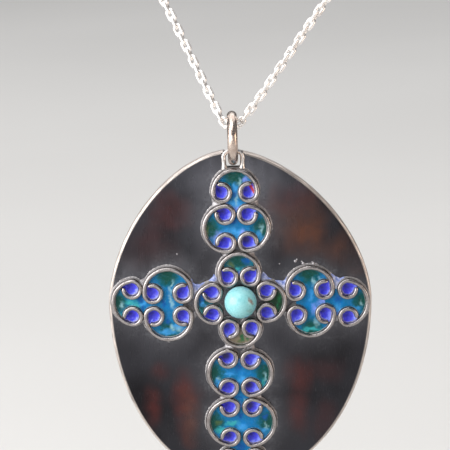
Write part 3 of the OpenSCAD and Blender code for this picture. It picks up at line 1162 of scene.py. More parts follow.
@dataclass(frozen=True)
class Plate:
    """The egg-shaped plate with its rounded rim and the notch under the hanging loop."""

    width: float = 40.2
    top: float = 23.3
    bottom: float = 29.5
    drop: float = 0.65
    top_fullness: float = 1.71
    bottom_fullness: float = 2.0
    top_lean: float = 1.0
    bottom_lean: float = 0.55
    thickness: float = 1.3
    notch_across: float = -0.5
    notch_half: float = 1.275
    notch_bottom: float = 20.15
    shoulder: float = 0.5
    shoulder_drop: float = 0.4
    shoulder_steps: int = 6
    wall_steps: int = 4
    back_round: float = 0.2
    back_satin: float = 0.7
    edge_wander: float = 0.02
    notch_filing: float = 0.15
    mesh_step: float = 0.5
    edge_points: int = 420
    notch_step: float = 0.3
    least_step: float = 0.12

    def edge(self, angle: float) -> Place:
        """Gives a point of the outline.

        Args:
            angle: Its angle, anticlockwise from the right.

        Returns:
            Its place.
        """
        upper = sin(angle) >= 0
        fullness = self.top_fullness if upper else self.bottom_fullness
        rise = abs(sin(angle)) ** (2 / fullness)
        lean = (self.top_lean if upper else self.bottom_lean) * rise * rise
        half = self.width / 2 * copysign(abs(cos(angle)) ** (2 / fullness), cos(angle))
        return (half - lean, (self.top if upper else -self.bottom) * rise - self.drop)

    def notch(self, before: Place, after: Place) -> list[Place]:
        """Walks round the notch.

        Args:
            before: The outline's last point to the right of it.
            after: The outline's first point to the left of it.

        Returns:
            Evenly spaced places from right to left.
        """
        left, right = self.notch_across - self.notch_half, self.notch_across + self.notch_half
        corners = [
            (right, before[1]), (right, self.notch_bottom), (left, self.notch_bottom), (left, after[1])
        ]
        walk: list[Place] = []
        for a, b in zip(corners, corners[1:]):
            count = max(1, round(dist(a, b) / self.notch_step))
            across, up = b[0] - a[0], b[1] - a[1]
            walk += [(a[0] + across * k / count, a[1] + up * k / count) for k in range(count)]
        return walk + [corners[-1]]

    def outline(self) -> Array:
        """Draws the closed outline with the notch.

        Returns:
            Its places, anticlockwise from the right.
        """
        egg = [self.edge(TURN * (k + 0.5) / self.edge_points) for k in range(self.edge_points)]
        left, right = self.notch_across - self.notch_half, self.notch_across + self.notch_half
        before = egg[: next(k for k, p in enumerate(egg) if p[0] < right)]
        after = egg[next(k for k, p in enumerate(egg) if p[0] <= left):]
        loop = before + self.notch(before[-1], after[0]) + after
        spaced = [loop[0]]
        for p in loop[1:]:
            if dist(p, spaced[-1]) > self.least_step:
                spaced.append(p)
        start = max(range(len(spaced)), key=lambda k: spaced[k][0])
        return np.array(spaced[start:] + spaced[:start])

    def inset(self, loop: Array, way: float) -> Array:
        """Draws the outline back towards the metal.

        Args:
            loop: The outline's places.
            way: How far.

        Returns:
            The new places.
        """
        ahead = np.roll(loop, -1, 0) - loop
        ahead /= np.linalg.norm(ahead, axis=1)[:, None]
        normal = np.stack([-ahead[:, 1], ahead[:, 0]], 1)
        corner = normal + np.roll(normal, 1, 0)
        corner /= np.linalg.norm(corner, axis=1)[:, None]
        return loop + way * corner

    def inner_places(self, loop: Array) -> Array:
        """Lays a grid of places inside a closed outline.

        Args:
            loop: The outline's places.

        Returns:
            The places of the grid that lie clear of it.
        """
        clear, rows = 0.3 * self.mesh_step, []
        low, high = loop.min(0), loop.max(0)
        rise = self.mesh_step * sqrt(3) / 2
        for j in range(ceil((high[1] - low[1]) / rise)):
            shift = self.mesh_step / 2 * (j % 2)
            for i in range(ceil((high[0] - low[0]) / self.mesh_step)):
                rows.append((low[0] + shift + i * self.mesh_step, low[1] + j * rise))
        grid = np.array(rows)
        inside = np.zeros(len(grid), bool)
        gap = np.full(len(grid), FAR)
        for p, q in zip(loop, np.roll(loop, -1, 0)):
            crosses = (p[1] > grid[:, 1]) != (q[1] > grid[:, 1])
            with np.errstate(divide="ignore", invalid="ignore"):
                at = (q[0] - p[0]) * (grid[:, 1] - p[1]) / (q[1] - p[1]) + p[0]
            inside ^= crosses & (grid[:, 0] < at)
            edge = q - p
            share = np.clip(((grid - p) @ edge) / max(float(edge @ edge), 1e-9), 0, 1)
            gap = np.minimum(gap, np.linalg.norm(grid - p - share[:, None] * edge, axis=1))
        return grid[inside & (gap > clear)]

    def rim_profile(self) -> list[Place]:
        """Gives the section of the rim from the front to the back.

        Returns:
            How far each step is drawn in from the outline, and its height.
        """
        angles = [k / self.shoulder_steps * pi / 2 for k in range(1, self.shoulder_steps + 1)]
        levels = [(self.shoulder * (1 - sin(a)), -self.shoulder_drop * (1 - cos(a))) for a in angles]
        wall = -self.thickness + self.back_round
        fall = wall + self.shoulder_drop
        steps = self.wall_steps
        levels += [(0.0, -self.shoulder_drop + fall * k / steps) for k in range(1, steps + 1)]
        bend = self.back_round
        return levels + [(bend * (1 - cos(a)), wall - bend * sin(a)) for a in (0.5, 1.05)]

    def build(self, finish: Finish) -> Piece:
        """Builds the plate.

        Args:
            finish: Its material.

        Returns:
            The plate.
        """
        shell = Shell()
        loop = self.outline()
        lengths = np.cumsum(np.linalg.norm(loop - np.roll(loop, 1, 0), axis=1))
        wander = Wander.PLATE_EDGE.over(loop)
        beside = np.abs(loop[:, 0] - self.notch_across) < self.notch_half + 0.25
        filed = np.where(beside & (loop[:, 1] > 0), self.notch_filing, 1.0)
        rings, down = [self.face(shell, self.inset(loop, self.shoulder), 0.0, painted=True)], 0.0
        for k, (draw, height) in enumerate(self.rim_profile()):
            uneven = self.edge_wander * (k < self.shoulder_steps + 2)
            worn = min(1.0, 0.35 + 0.3 * (k + 1))
            down += 0.12
            rings.append([
                shell.point(DOME.point(p[0], p[1], height + uneven * w), rim=f * worn, along=s, down=down)
                for p, w, s, f in zip(self.inset(loop, draw), wander, lengths, filed)
            ])
        rings.append(self.face(shell, self.inset(loop, self.back_round), -self.thickness, painted=False))
        shell.strip(rings)
        return shell.build("plate", finish, crease=70)

    def face(self, shell: Shell, loop: Array, height: float, painted: bool) -> list[int]:
        """Fills the front or the back of the plate.

        Args:
            shell: The shell that takes the faces.
            loop: The face's own outline.
            height: Its height above the front.
            painted: Whether haze and tarnish are painted on it.

        Returns:
            The point numbers of its outline.
        """
        places = np.vstack([loop, self.inner_places(loop)])
        edge = list(range(len(loop)))
        made = delaunay_2d_cdt([Vector(p) for p in places], [], [edge], 1, 1e-6)
        places = np.array([tuple(v) for v in made[0]])
        haze = np.exp(-np.maximum(gap_to_wires(places), 0)) if painted else np.zeros(len(places))
        paint = {tone: np.zeros(len(places)) for tone in Tone}
        if painted:
            for cloud in CLOUDS:
                paint[cloud.tone] = np.maximum(paint[cloud.tone], cloud.at(places))
        else:
            paint[Tone.GREY] += self.back_satin
        numbers = [
            shell.point(
                DOME.point(p[0], p[1], height),
                haze=haze[i],
                **{tone.value: values[i] for tone, values in paint.items()},
            )
            for i, p in enumerate(places)
        ]
        shell.faces += [tuple(numbers[k] for k in corners) for corners in made[2]]
        kept = {source: new for new, sources in enumerate(made[3]) for source in sources}
        return [numbers[kept[k]] for k in edge]


@dataclass(frozen=True)
class ScrollWires:
    """The eighteen bent scroll wires, with the solder that flowed along their feet."""

    scrolls: tuple[Scroll, ...] = tuple(SCROLLS.values())
    bend_wander: float = 0.025
    flare: float = 0.13
    flare_wander: float = 0.12
    flare_edge: float = 0.05
    width_wander: float = 0.05
    crown_wander: float = 0.05
    lining_wander: float = 0.15
    end_widths: Point = (0.7, 0.88, 0.97)
    end_drops: Point = (0.08, 0.03, 0.0)
    arc_lining: float = 0.24
    curl_lining: float = 0.26
    lining_foot: float = 0.46
    ring_path: Place = (-0.5, 20.1)
    ring_room: float = 2.0
    ring_thinning: float = 0.1

    def tight(self, place: Sequence[float]) -> float:
        """Gives 1 where the jump ring swings close over the wire, easing to 0 beside it."""
        gap = np.array(dist(place, self.ring_path))
        return float(1 - ease(gap, 0.55 * self.ring_room, self.ring_room))

    def section(self, flare: float, swell: float, width: float, lift: float, lining: float) -> list[Point]:
        """Gives the wire's section.

        Args:
            flare: How far the solder spreads at the outer foot.
            swell: How far the outer wall stands out below the crown.
            width: The wire's width as a share of the full one.
            lift: How much the crown rises or falls.
            lining: How far the metal spreads on the inner side, down to the enamel.

        Returns:
            Sideways place, height and painted rise of each point, outside to inside.
        """
        fillet_top = 0.45
        half = WIRE.crown_half * width
        shoulder = WIRE.height - WIRE.crown + lift
        slope = [(swell, 0.6), (0.8 * swell, 0.8), (0.4 * swell, 0.96)]
        fillet = [
            (swell + flare * (1 - cos(a)), fillet_top * (1 - sin(a)))
            for a in (radians(90 - 15 * k) for k in range(6))
        ]
        foot = [(swell + 1.02 * flare, WIRE.root)] + fillet + slope
        crown = [
            (half * cos(a), shoulder + WIRE.crown * sin(a))
            for a in (pi * k / WIRE.crown_steps for k in range(WIRE.crown_steps + 1))
        ]
        inner = [
            (lining * t**1.5, shoulder - (shoulder - self.lining_foot) * t) for t in (0.2, 0.4, 0.6, 0.8, 1.0)
        ]
        points = [(half + out, h) for out, h in foot] + crown + [(-half - out, h) for out, h in inner]
        points.append((-half - lining, WIRE.root))
        return [(u, h, max(0.0, h / WIRE.height)) for u, h in points]

    def path(self, scroll: Scroll) -> Array:
        """Follows the wire's middle line, slightly uneven as bent by hand.

        Args:
            scroll: The scroll.

        Returns:
            Places on the plate.
        """
        own = list(reversed(scroll.half_path(0)[1:])) + scroll.half_path(1)
        places = np.array([scroll.placed(x, y) for x, y in own])
        shift = np.stack([Wander.BEND_ACROSS.over(places), Wander.BEND_UP.over(places)], 1)
        free = np.array([1 - self.tight(p) for p in places])
        return places + self.bend_wander * free[:, None] * shift

    def section_at(self, place: Array, end: int, lining: float) -> list[Point]:
        """Gives the section at one point of the wire, with the wander of handwork.

        Args:
            place: The point's place on the plate.
            end: How many points it is from the wire's nearer end.
            lining: The even reach of the lining there.

        Returns:
            Sideways place, height and painted rise of each point of the section.
        """
        free = 1 - self.tight(place)
        uneven = self.flare_wander * Wander.SOLDER_FLOW.at(place)
        flare = free * (self.flare + uneven + self.flare_edge * Wander.SOLDER_EDGE.at(place))
        if end < len(self.end_widths):
            width = self.end_widths[end]
        else:
            width = 1 + self.width_wander * Wander.WIRE_WIDTH.at(place)
        width *= 1 - self.ring_thinning + self.ring_thinning * free
        lift = self.crown_wander * free * Wander.CROWN_HEIGHT.at(place) - self.end_drops[min(end, 2)]
        lining *= (1 + self.lining_wander * Wander.LINING.at(place)) * min(1.0, 0.2 + end / 5)
        return self.section(flare, WIRE.swell * free, width, lift, lining * width)

    def build(self, scroll: Scroll, finish: Finish) -> Piece:
        """Builds one scroll.

        Args:
            scroll: The scroll.
            finish: Its material.

        Returns:
            The bent wire.
        """
        shell = Shell()
        line = self.path(scroll)
        ahead = np.gradient(line, axis=0)
        ahead /= np.linalg.norm(ahead, axis=1)[:, None]
        side = np.stack([-ahead[:, 1], ahead[:, 0]], 1)
        own = scroll.own(line)
        on_arc = np.arctan2(own[:, 1] - scroll.arc_rise, np.abs(own[:, 0])) > scroll.start
        rings = []
        for i, (p, n) in enumerate(zip(line, side)):
            end = min(i, len(line) - 1 - i)
            section = self.section_at(p, end, self.arc_lining if on_arc[i] else self.curl_lining)
            rings.append([
                shell.point(DOME.point(p[0] + n[0] * u, p[1] + n[1] * u, h), rise=rise)
                for u, h, rise in section
            ])
        shell.strip(rings, capped=True)
        return shell.build(f"wire_{scroll.name}", finish)


@dataclass(frozen=True)
class HangingLoop:
    """The round wire arch over the notch, soldered to the plate by its two feet."""

    wire: float = 0.7
    width: float = 3.6
    crown: float = 22.6
    across: float = -0.5
    forward: float = 0.32
    foot: float = 19.9
    bend: float = 1.0
    toe_in: float = 0.12
    foot_swell: Point = (0.16, 0.08, 0.03)
    leg_steps: int = 6
    bend_steps: int = 10
    sides: int = 20

    def build(self, finish: Finish) -> Piece:
        """Builds the loop.

        Args:
            finish: Its material.

        Returns:
            The loop.
        """
        depth = DOME.radius - sqrt(DOME.radius**2 - self.crown**2) - self.forward
        middle = (DOME.across + self.across, DOME.back + depth, DOME.up + self.crown - self.bend)
        flat = (self.width - self.wire) / 2 - self.bend
        leg = self.crown - self.bend - self.foot
        n = self.leg_steps
        side = [(flat + self.bend - self.toe_in * (1 - k / n), -leg + leg * k / n) for k in range(n)]
        angles = (pi * k / (2 * self.bend_steps) for k in range(self.bend_steps + 1))
        side += [(flat + self.bend * cos(a), self.bend * sin(a)) for a in angles]
        path = side + [(-x, z) for x, z in reversed(side)]
        swell = {i: extra for i, extra in enumerate(self.foot_swell)}
        radii = [self.wire / 2 + swell.get(min(i, len(path) - 1 - i), 0.0) for i in range(len(path))]
        shell = Shell()
        points = [(middle[0] + x, middle[1], middle[2] + z) for x, z in path]
        tube(shell, points, radii, self.sides, looped=False)
        return shell.build("hanging_loop", finish)


class Poured:
    """Enamel or solder that filled a region of the plate while molten."""

    mesh_step = 0.1
    base_height = 0.02

    def corners_of(self) -> tuple[Array, Array]:
        """Gives the lowest and highest corner of the region's surroundings."""
        raise NotImplementedError

    def inside(self, places: Array) -> Array:
        """Measures how far places lie inside the region, positive within."""
        raise NotImplementedError

    def top(self, places: Array) -> Array:
        """Gives the height of the surface at places."""
        raise NotImplementedError

    def paint(self, places: Array) -> dict[str, Array]:
        """Gives the values that the material reads at places."""
        raise NotImplementedError

    def pour(self, shell: Shell) -> None:
        """Adds the region to a shell by trimming a grid to its shape.

        Args:
            shell: The shell that takes it.
        """
        step = self.mesh_step
        low, high = self.corners_of()
        low = np.floor(low / step) * step
        shape = np.ceil((high - low) / step).astype(int) + 1
        grid = np.array([(i, j) for i in range(shape[0]) for j in range(shape[1])])
        room = self.inside(low + grid * step).reshape(shape)
        places: list[Array] = []
        found: dict[tuple[int, ...], int] = {}
        faces: list[list[int]] = []

        def corner(a: tuple[int, int], b: tuple[int, int]) -> int:
            """Gives the number of a grid corner, or of the trimmed point between two.

            Args:
                a: The corner.
                b: The same one, or its neighbour across the edge.

            Returns:
                The point's number.
            """
            key = (*min(a, b), *max(a, b))
            if key not in found:
                share = 0.0 if a == b else room[a] / (room[a] - room[b])
                found[key] = len(places)
                places.append(low + step * (np.array(a) + share * (np.array(b) - np.array(a))))
            return found[key]

        for i in range(shape[0] - 1):
            for j in range(shape[1] - 1):
                cell = [(i, j), (i + 1, j), (i + 1, j + 1), (i, j + 1)]
                face = []
                for here, following in zip(cell, cell[1:] + cell[:1]):
                    if room[here] > 0:
                        face.append(corner(here, here))
                    if (room[here] > 0) != (room[following] > 0):
                        face.append(corner(here, following))
                if len(face) > 2:
                    faces.append(face)
        if faces:
            self.raise_walls(shell, np.array(places), faces)

    def raise_walls(self, shell: Shell, places: Array, faces: list[list[int]]) -> None:
        """Gives the trimmed grid its top, bottom and walls.

        Args:
            shell: The shell that takes the faces.
            places: The grid's points on the plate.
            faces: Its faces.
        """
        height, paint = self.top(places), self.paint(places)
        top = [
            shell.point(DOME.point(*p, height[i]), **{name: values[i] for name, values in paint.items()})
            for i, p in enumerate(places)
        ]
        base = [shell.point(DOME.point(*p, self.base_height)) for p in places]
        edges: set[tuple[int, int]] = set()
        for face in faces:
            shell.faces.append(tuple(top[k] for k in face))
            shell.faces.append(tuple(base[k] for k in reversed(face)))
            edges.update(zip(face, face[1:] + face[:1]))
        for a, b in edges:
            if (b, a) not in edges:
                shell.faces.append((top[b], top[a], base[a], base[b]))


@dataclass(frozen=True)
class Tint:
    """A patch of one tint that ran into the enamel of a field."""

    glaze: Glaze
    across: float
    up: float
    half_width: float
    half_height: float
    lean: float = 0.0
    full_end: float = 0.2
    soft_end: float = 1.7

    def at(self, places: Array) -> Array:
        """Measures the patch's strength.

        Args:
            places: Places on the plate, already shifted to make its edge wander.

        Returns:
            The strengths, 0 to 1.
        """
        x, y = turned(places, self.across, self.up, self.lean)
        out = np.hypot(x / self.half_width, y / self.half_height)
        return self.glaze.strength * (1 - ease(out, self.full_end, self.soft_end))


@dataclass(frozen=True)
class Field(Poured):
    """The enamel of one field, dished between the wires that it climbs."""

    name: str
    arcs: tuple[str, ...]
    corners: tuple[Curl, ...] = ()
    tints: tuple[Tint, ...] = ()
    ground: Glaze | None = None
    crest: Glaze = Glaze.FOREST
    crest_at: float = 0.7
    crest_reach: float = 2.2
    middle_height: float = 0.64
    lumps: float = 0.05
    climb: float = 0.1
    climb_reach: float = 0.26
    under_wire: float = 0.12
    run: float = 0.4
    fine_run: float = 0.5
    # strength and reach of the painted shade along the walls
    wall_shade: float = 0.7
    wall_shade_reach: float = 0.32
    margin: float = 0.5

    def curls(self) -> list[Place]:
        """Gives the middles of the curls round the field."""
        found = {(name, side) for name in self.arcs for side in (0, 1)} | set(self.corners)
        return [SCROLLS[name].curl(side) for name, side in sorted(found)]

    def corners_of(self) -> tuple[Array, Array]:
        """Gives the lowest and highest corner of the field's surroundings."""
        reach = np.array(self.curls() + [SCROLLS[n].placed(0, SCROLLS[n].height) for n in self.arcs])
        return reach.min(0) - self.margin, reach.max(0) + self.margin

    def between_curls(self, places: Array) -> Array:
        """Measures how far places lie inside the four-sided shape between the corner curls.

        Args:
            places: Places on the plate.

        Returns:
            The distances, positive inside.
        """
        ring = np.array([SCROLLS[name].curl(side) for name, side in self.corners])
        middle = ring.mean(0)
        room = np.full(len(places), FAR)
        for a, b in zip(ring, np.roll(ring, -1, 0)):
            edge = (b - a) / np.linalg.norm(b - a)
            normal = np.array([-edge[1], edge[0]])
            normal *= copysign(1, float((middle - a) @ normal))
            room = np.minimum(room, (places - a) @ normal)
        return room

    def inside(self, places: Array) -> Array:
        """Measures how far places lie inside the field.

        Args:
            places: Places on the plate.

        Returns:
            The distances, positive inside.
        """
        room = np.full(len(places), -FAR)
        for name in self.arcs:
            room = np.maximum(room, SCROLLS[name].bay(places, self.under_wire))
        if self.corners:
            room = np.maximum(room, self.between_curls(places))
        for curl in self.curls():
            gap = np.linalg.norm(places - np.array(curl), axis=1) - WIRE.curl_r - WIRE.half + self.under_wire
            room = np.minimum(room, gap)
        return room

    def wall_gap(self, places: Array) -> Array:
        """Measures the distance from places to the nearest wall of the field.

        Args:
            places: Places on the plate.

        Returns:
            The distances, 0 inside a wall.
        """
        wall = np.full(len(places), FAR)
        for name in self.arcs:
            own_side = SCROLLS[name].own(places)[:, 1] > -WIRE.past_line
            wall = np.where(own_side, np.minimum(wall, SCROLLS[name].arc_room(places)), wall)
        for middle in self.curls():
            from_curl = np.linalg.norm(places - np.array(middle), axis=1) - WIRE.curl_r - WIRE.half
            wall = np.minimum(wall, from_curl)
        return np.maximum(wall, 0)

    def top(self, places: Array) -> Array:
        """Gives the height of the enamel at places."""
        climb = self.climb * np.exp(-self.wall_gap(places) / self.climb_reach)
        return self.middle_height + climb + self.lumps * Wander.FIELD_LUMPS.over(places)

    def paint(self, places: Array) -> dict[str, Array]:
        """Works out where each tint lies.

        Args:
            places: Places on the plate.

        Returns:
            The strengths of each tint, by its name.
        """
        # a darker teal along every wall: painted shade where the enamel meets the wires
        runs = [(Glaze.TEAL, self.wall_shade * np.exp(-self.wall_gap(places) / self.wall_shade_reach))]
        if self.ground:
            runs.append((self.ground, np.ones(len(places))))
        across = Wander.RUN_ACROSS.over(places) + self.fine_run * Wander.RUN_ACROSS_FINE.over(places)
        up = Wander.RUN_UP.over(places) + self.fine_run * Wander.RUN_UP_FINE.over(places)
        places = places + self.run * np.stack([across, up], 1)
        runs += [(tint.glaze, tint.at(places)) for tint in self.tints]
        for name in self.arcs:
            crest = np.array(SCROLLS[name].placed(0, self.crest_at * SCROLLS[name].height))
            gap = np.linalg.norm(places - crest, axis=1) / self.crest_reach
            runs.append((Glaze.TEAL, 1 - ease(gap, 0.45, 1.25)))
            runs.append((self.crest, 1 - ease(gap, 0.25, 0.95)))
        found: dict[str, Array] = {}
        for glaze, share in runs:
            found[glaze.value] = np.maximum(found.get(glaze.value, 0.0), share)
        return found

    def build(self, finish: Finish) -> Piece:
        """Builds the field's enamel.

        Args:
            finish: Its material.

        Returns:
            The enamel.
        """
        shell = Shell()
        self.pour(shell)
        return shell.build(f"enamel_{self.name}", finish)


def pair(a: str, b: str) -> tuple[Curl, ...]:
    """Names the four curls of two scrolls that face each other."""
    return ((a, 0), (a, 1), (b, 0), (b, 1))


def reach(end: str, a: str, b: str) -> tuple[Curl, ...]:
    """Names the curls between an outermost scroll and the two before it."""
    return ((end, 0), (end, 1), (b, 0), (a, 1))


def link(a: str, b: str, next_a: str, next_b: str) -> tuple[Curl, ...]:
    """Names the curls between two cells."""
    return ((b, 0), (a, 1), (next_a, 0), (next_b, 1))


FIELDS = (
    Field("petal_top", ("petal_top",), ground=Glaze.TEAL, tints=(
        Tint(Glaze.OLIVE, -1.3, 5.5, 0.3, 0.6, 30), Tint(Glaze.FOREST, -0.4, 6.0, 0.6, 0.5),
        Tint(Glaze.TEAL, 0.3, 5.8, 0.5, 0.6), Tint(Glaze.DEEP, 1.1, 5.9, 0.5, 0.5),
        Tint(Glaze.AQUA, -0.3, 4.7, 0.4, 0.4), Tint(Glaze.LAVENDER, -0.1, 3.7, 0.2, 0.6),
    )),
    Field("petal_left", ("petal_left",), ground=Glaze.TEAL, tints=(
        Tint(Glaze.DEEP, -6.0, 0.4, 0.5, 0.9), Tint(Glaze.AZURE, -5.7, -0.7, 0.4, 0.3),
        Tint(Glaze.AQUA, -6.2, -1.9, 0.4, 0.6), Tint(Glaze.TEAL, -6.4, -0.7, 0.3, 0.6),
    )),
    Field("petal_bottom", ("petal_bottom",), ground=Glaze.UMBER, tints=(
        Tint(Glaze.LEAF, 0.0, -5.8, 0.3, 0.4), Tint(Glaze.OLIVE, -0.4, -6.5, 0.4, 0.3),
        Tint(Glaze.LEAF, 0.1, -6.4, 0.3, 0.4), Tint(Glaze.UMBER, -1.9, -6.5, 0.6, 0.3),
        Tint(Glaze.UMBER, -0.9, -6.5, 0.2, 0.2), Tint(Glaze.LEAF, 1.0, -6.3, 0.3, 0.2),
    )),
    Field("petal_right", ("petal_right",), ground=Glaze.MOSS, tints=(
        Tint(Glaze.FOREST, 5.9, 0.3, 0.6, 1.1), Tint(Glaze.LEAF, 5.9, -0.2, 0.2, 0.6),
        Tint(Glaze.LEAF, 5.7, -1.4, 0.2, 0.4),
    )),
    Field("top_cell", ("top_cell_left", "top_cell_right"), pair("top_cell_left",
        "top_cell_right"), tints=(
        Tint(Glaze.OLIVE, -4.6, 10.6, 0.2, 0.8), Tint(Glaze.DEEP, -0.5, 12.2, 0.6, 0.6),
        Tint(Glaze.AZURE, -0.4, 10.4, 1.4, 0.5), Tint(Glaze.LAVENDER, -3.1, 9.8, 1.0, 0.6, 30),
        Tint(Glaze.LAVENDER, -3.6, 8.9, 0.4, 0.4), Tint(Glaze.AZURE, -0.2, 9.7, 0.4, 0.6),
        Tint(Glaze.PAINTED_HIGHLIGHT, 3.4, 10.8, 0.2, 0.6), Tint(Glaze.AZURE, 3.1, 9.7, 0.4, 0.8, 20),
        Tint(Glaze.LAVENDER, 0.7, 10.3, 0.6, 0.4),
    )),
    Field("top_end", ("top_end",), reach("top_end", "top_cell_left", "top_cell_right"), tints=(
        Tint(Glaze.PAINTED_HIGHLIGHT, 0.3, 18.0, 0.2, 0.6), Tint(Glaze.LAVENDER, 1.2, 18.2, 0.5, 0.4),
        Tint(Glaze.AZURE, -0.4, 17.0, 0.4, 0.7), Tint(Glaze.DEEP, -0.5, 16.2, 0.5, 0.6),
        Tint(Glaze.PAINTED_HIGHLIGHT, 0.0, 15.4, 0.2, 0.8, -10), Tint(Glaze.AZURE, -0.4, 14.6, 0.8, 0.5),
        Tint(Glaze.LAVENDER, -0.3, 13.9, 0.5, 0.4), Tint(Glaze.LAVENDER, -2.0, 14.7, 0.5, 0.4),
    )),
    Field("left_cell", ("left_cell_lower", "left_cell_upper"), pair("left_cell_lower",
        "left_cell_upper"), tints=(
        Tint(Glaze.PAINTED_HIGHLIGHT, -10.3, 2.7, 0.2, 0.6, -20), Tint(Glaze.PAINTED_HIGHLIGHT, -10.6, 1.7, 0.2, 0.6),
        Tint(Glaze.DEEP, -11.7, -0.3, 0.3, 0.5), Tint(Glaze.PAINTED_HIGHLIGHT, -10.5, -0.1, 0.2, 1.0, 12),
        Tint(Glaze.DEEP, -11.0, -3.2, 0.3, 0.5), Tint(Glaze.PAINTED_HIGHLIGHT, -10.5, -4.3, 0.3, 0.4),
        Tint(Glaze.AZURE, -11.3, -5.0, 1.3, 0.4), Tint(Glaze.PAINTED_HIGHLIGHT, -9.5, -4.5, 0.5, 0.3),
        Tint(Glaze.AZURE, -9.8, -4.1, 0.7, 0.4),
    )),
    Field("left_end", ("left_end",), reach("left_end", "left_cell_lower", "left_cell_upper"), tints=(
        Tint(Glaze.AQUA, -16.8, -0.1, 0.8, 0.4), Tint(Glaze.PAINTED_HIGHLIGHT, -18.1, -0.7, 0.3, 0.5),
        Tint(Glaze.DEEP, -15.2, 0.4, 0.5, 0.4), Tint(Glaze.AZURE, -14.8, -0.4, 0.5, 0.4),
        Tint(Glaze.DEEP, -15.0, -1.1, 0.3, 0.4), Tint(Glaze.AQUA, -18.4, -2.2, 0.3, 0.4),
        Tint(Glaze.AQUA, -16.1, -0.5, 0.7, 0.4),
    )),
    Field("right_cell", ("right_cell_upper", "right_cell_lower"), pair("right_cell_upper",
        "right_cell_lower"), tints=(
        Tint(Glaze.PAINTED_HIGHLIGHT, 11.2, 2.3, 0.2, 0.5), Tint(Glaze.PAINTED_HIGHLIGHT, 12.2, 2.7, 0.3, 0.2),
        Tint(Glaze.AZURE, 10.7, 0.1, 0.3, 0.8), Tint(Glaze.LAVENDER, 11.3, -2.0, 0.4, 0.8),
        Tint(Glaze.LAVENDER, 12.6, -0.9, 0.8, 0.4), Tint(Glaze.PAINTED_HIGHLIGHT, 11.6, -4.1, 0.3, 0.5),
        Tint(Glaze.AQUA, 10.6, -5.1, 1.5, 0.3),
    )),
    Field("right_end", ("right_end",), reach("right_end", "right_cell_upper", "right_cell_lower"),
        tints=(
        Tint(Glaze.DEEP, 14.9, -0.6, 0.5, 0.6), Tint(Glaze.AZURE, 14.8, -2.1, 0.5, 0.6),
        Tint(Glaze.AZURE, 17.6, -2.4, 0.7, 0.4), Tint(Glaze.PAINTED_HIGHLIGHT, 18.4, -1.5, 0.2, 0.4),
        Tint(Glaze.LAVENDER, 14.7, -2.8, 0.3, 0.4),
    )),
    Field("bottom_cell", ("bottom_cell_right", "bottom_cell_left"), pair("bottom_cell_right",
        "bottom_cell_left"), tints=(
        Tint(Glaze.AZURE, -3.8, -13.0, 0.3, 0.8), Tint(Glaze.PAINTED_HIGHLIGHT, -3.7, -12.4, 0.3, 0.2),
        Tint(Glaze.DEEP, -0.5, -11.0, 0.4, 0.4), Tint(Glaze.AZURE, -2.0, -11.8, 0.8, 0.2),
        Tint(Glaze.AZURE, -0.2, -12.8, 0.6, 0.7), Tint(Glaze.LAVENDER, -0.3, -9.4, 0.2, 0.4),
        Tint(Glaze.PAINTED_HIGHLIGHT, 3.4, -12.3, 0.2, 0.7), Tint(Glaze.AQUA, 3.1, -13.4, 0.3, 0.7),
    )),
    Field("bottom_link", (), link("bottom_cell_right", "bottom_cell_left", "low_cell_right",
        "low_cell_left"), tints=(
        Tint(Glaze.LAVENDER, -0.3, -17.2, 0.2, 0.7), Tint(Glaze.PAINTED_HIGHLIGHT, 0.2, -16.1, 0.2, 0.3),
        Tint(Glaze.DEEP, -0.6, -15.7, 0.4, 0.2),
    )),
    Field("low_cell", ("low_cell_right", "low_cell_left"), pair("low_cell_right",
        "low_cell_left"), tints=(
        Tint(Glaze.OLIVE, -3.9, -19.8, 0.4, 0.4), Tint(Glaze.AQUA, -3.7, -21.1, 0.7, 0.5),
        Tint(Glaze.AQUA, -1.8, -20.0, 0.9, 0.3), Tint(Glaze.DEEP, -0.5, -18.8, 0.4, 0.4),
        Tint(Glaze.AZURE, -0.3, -20.6, 0.7, 0.5), Tint(Glaze.DEEP, 3.3, -19.2, 0.4, 0.4),
        Tint(Glaze.PAINTED_HIGHLIGHT, 3.5, -20.6, 0.2, 0.6), Tint(Glaze.AZURE, 2.9, -21.4, 0.8, 0.5),
        Tint(Glaze.AZURE, 3.2, -22.4, 0.3, 0.4),
    )),
    Field("bottom_end", ("bottom_end",), reach("bottom_end", "low_cell_right", "low_cell_left"), tints=(
        Tint(Glaze.DEEP, -0.4, -24.1, 0.7, 0.7),
    )),
)


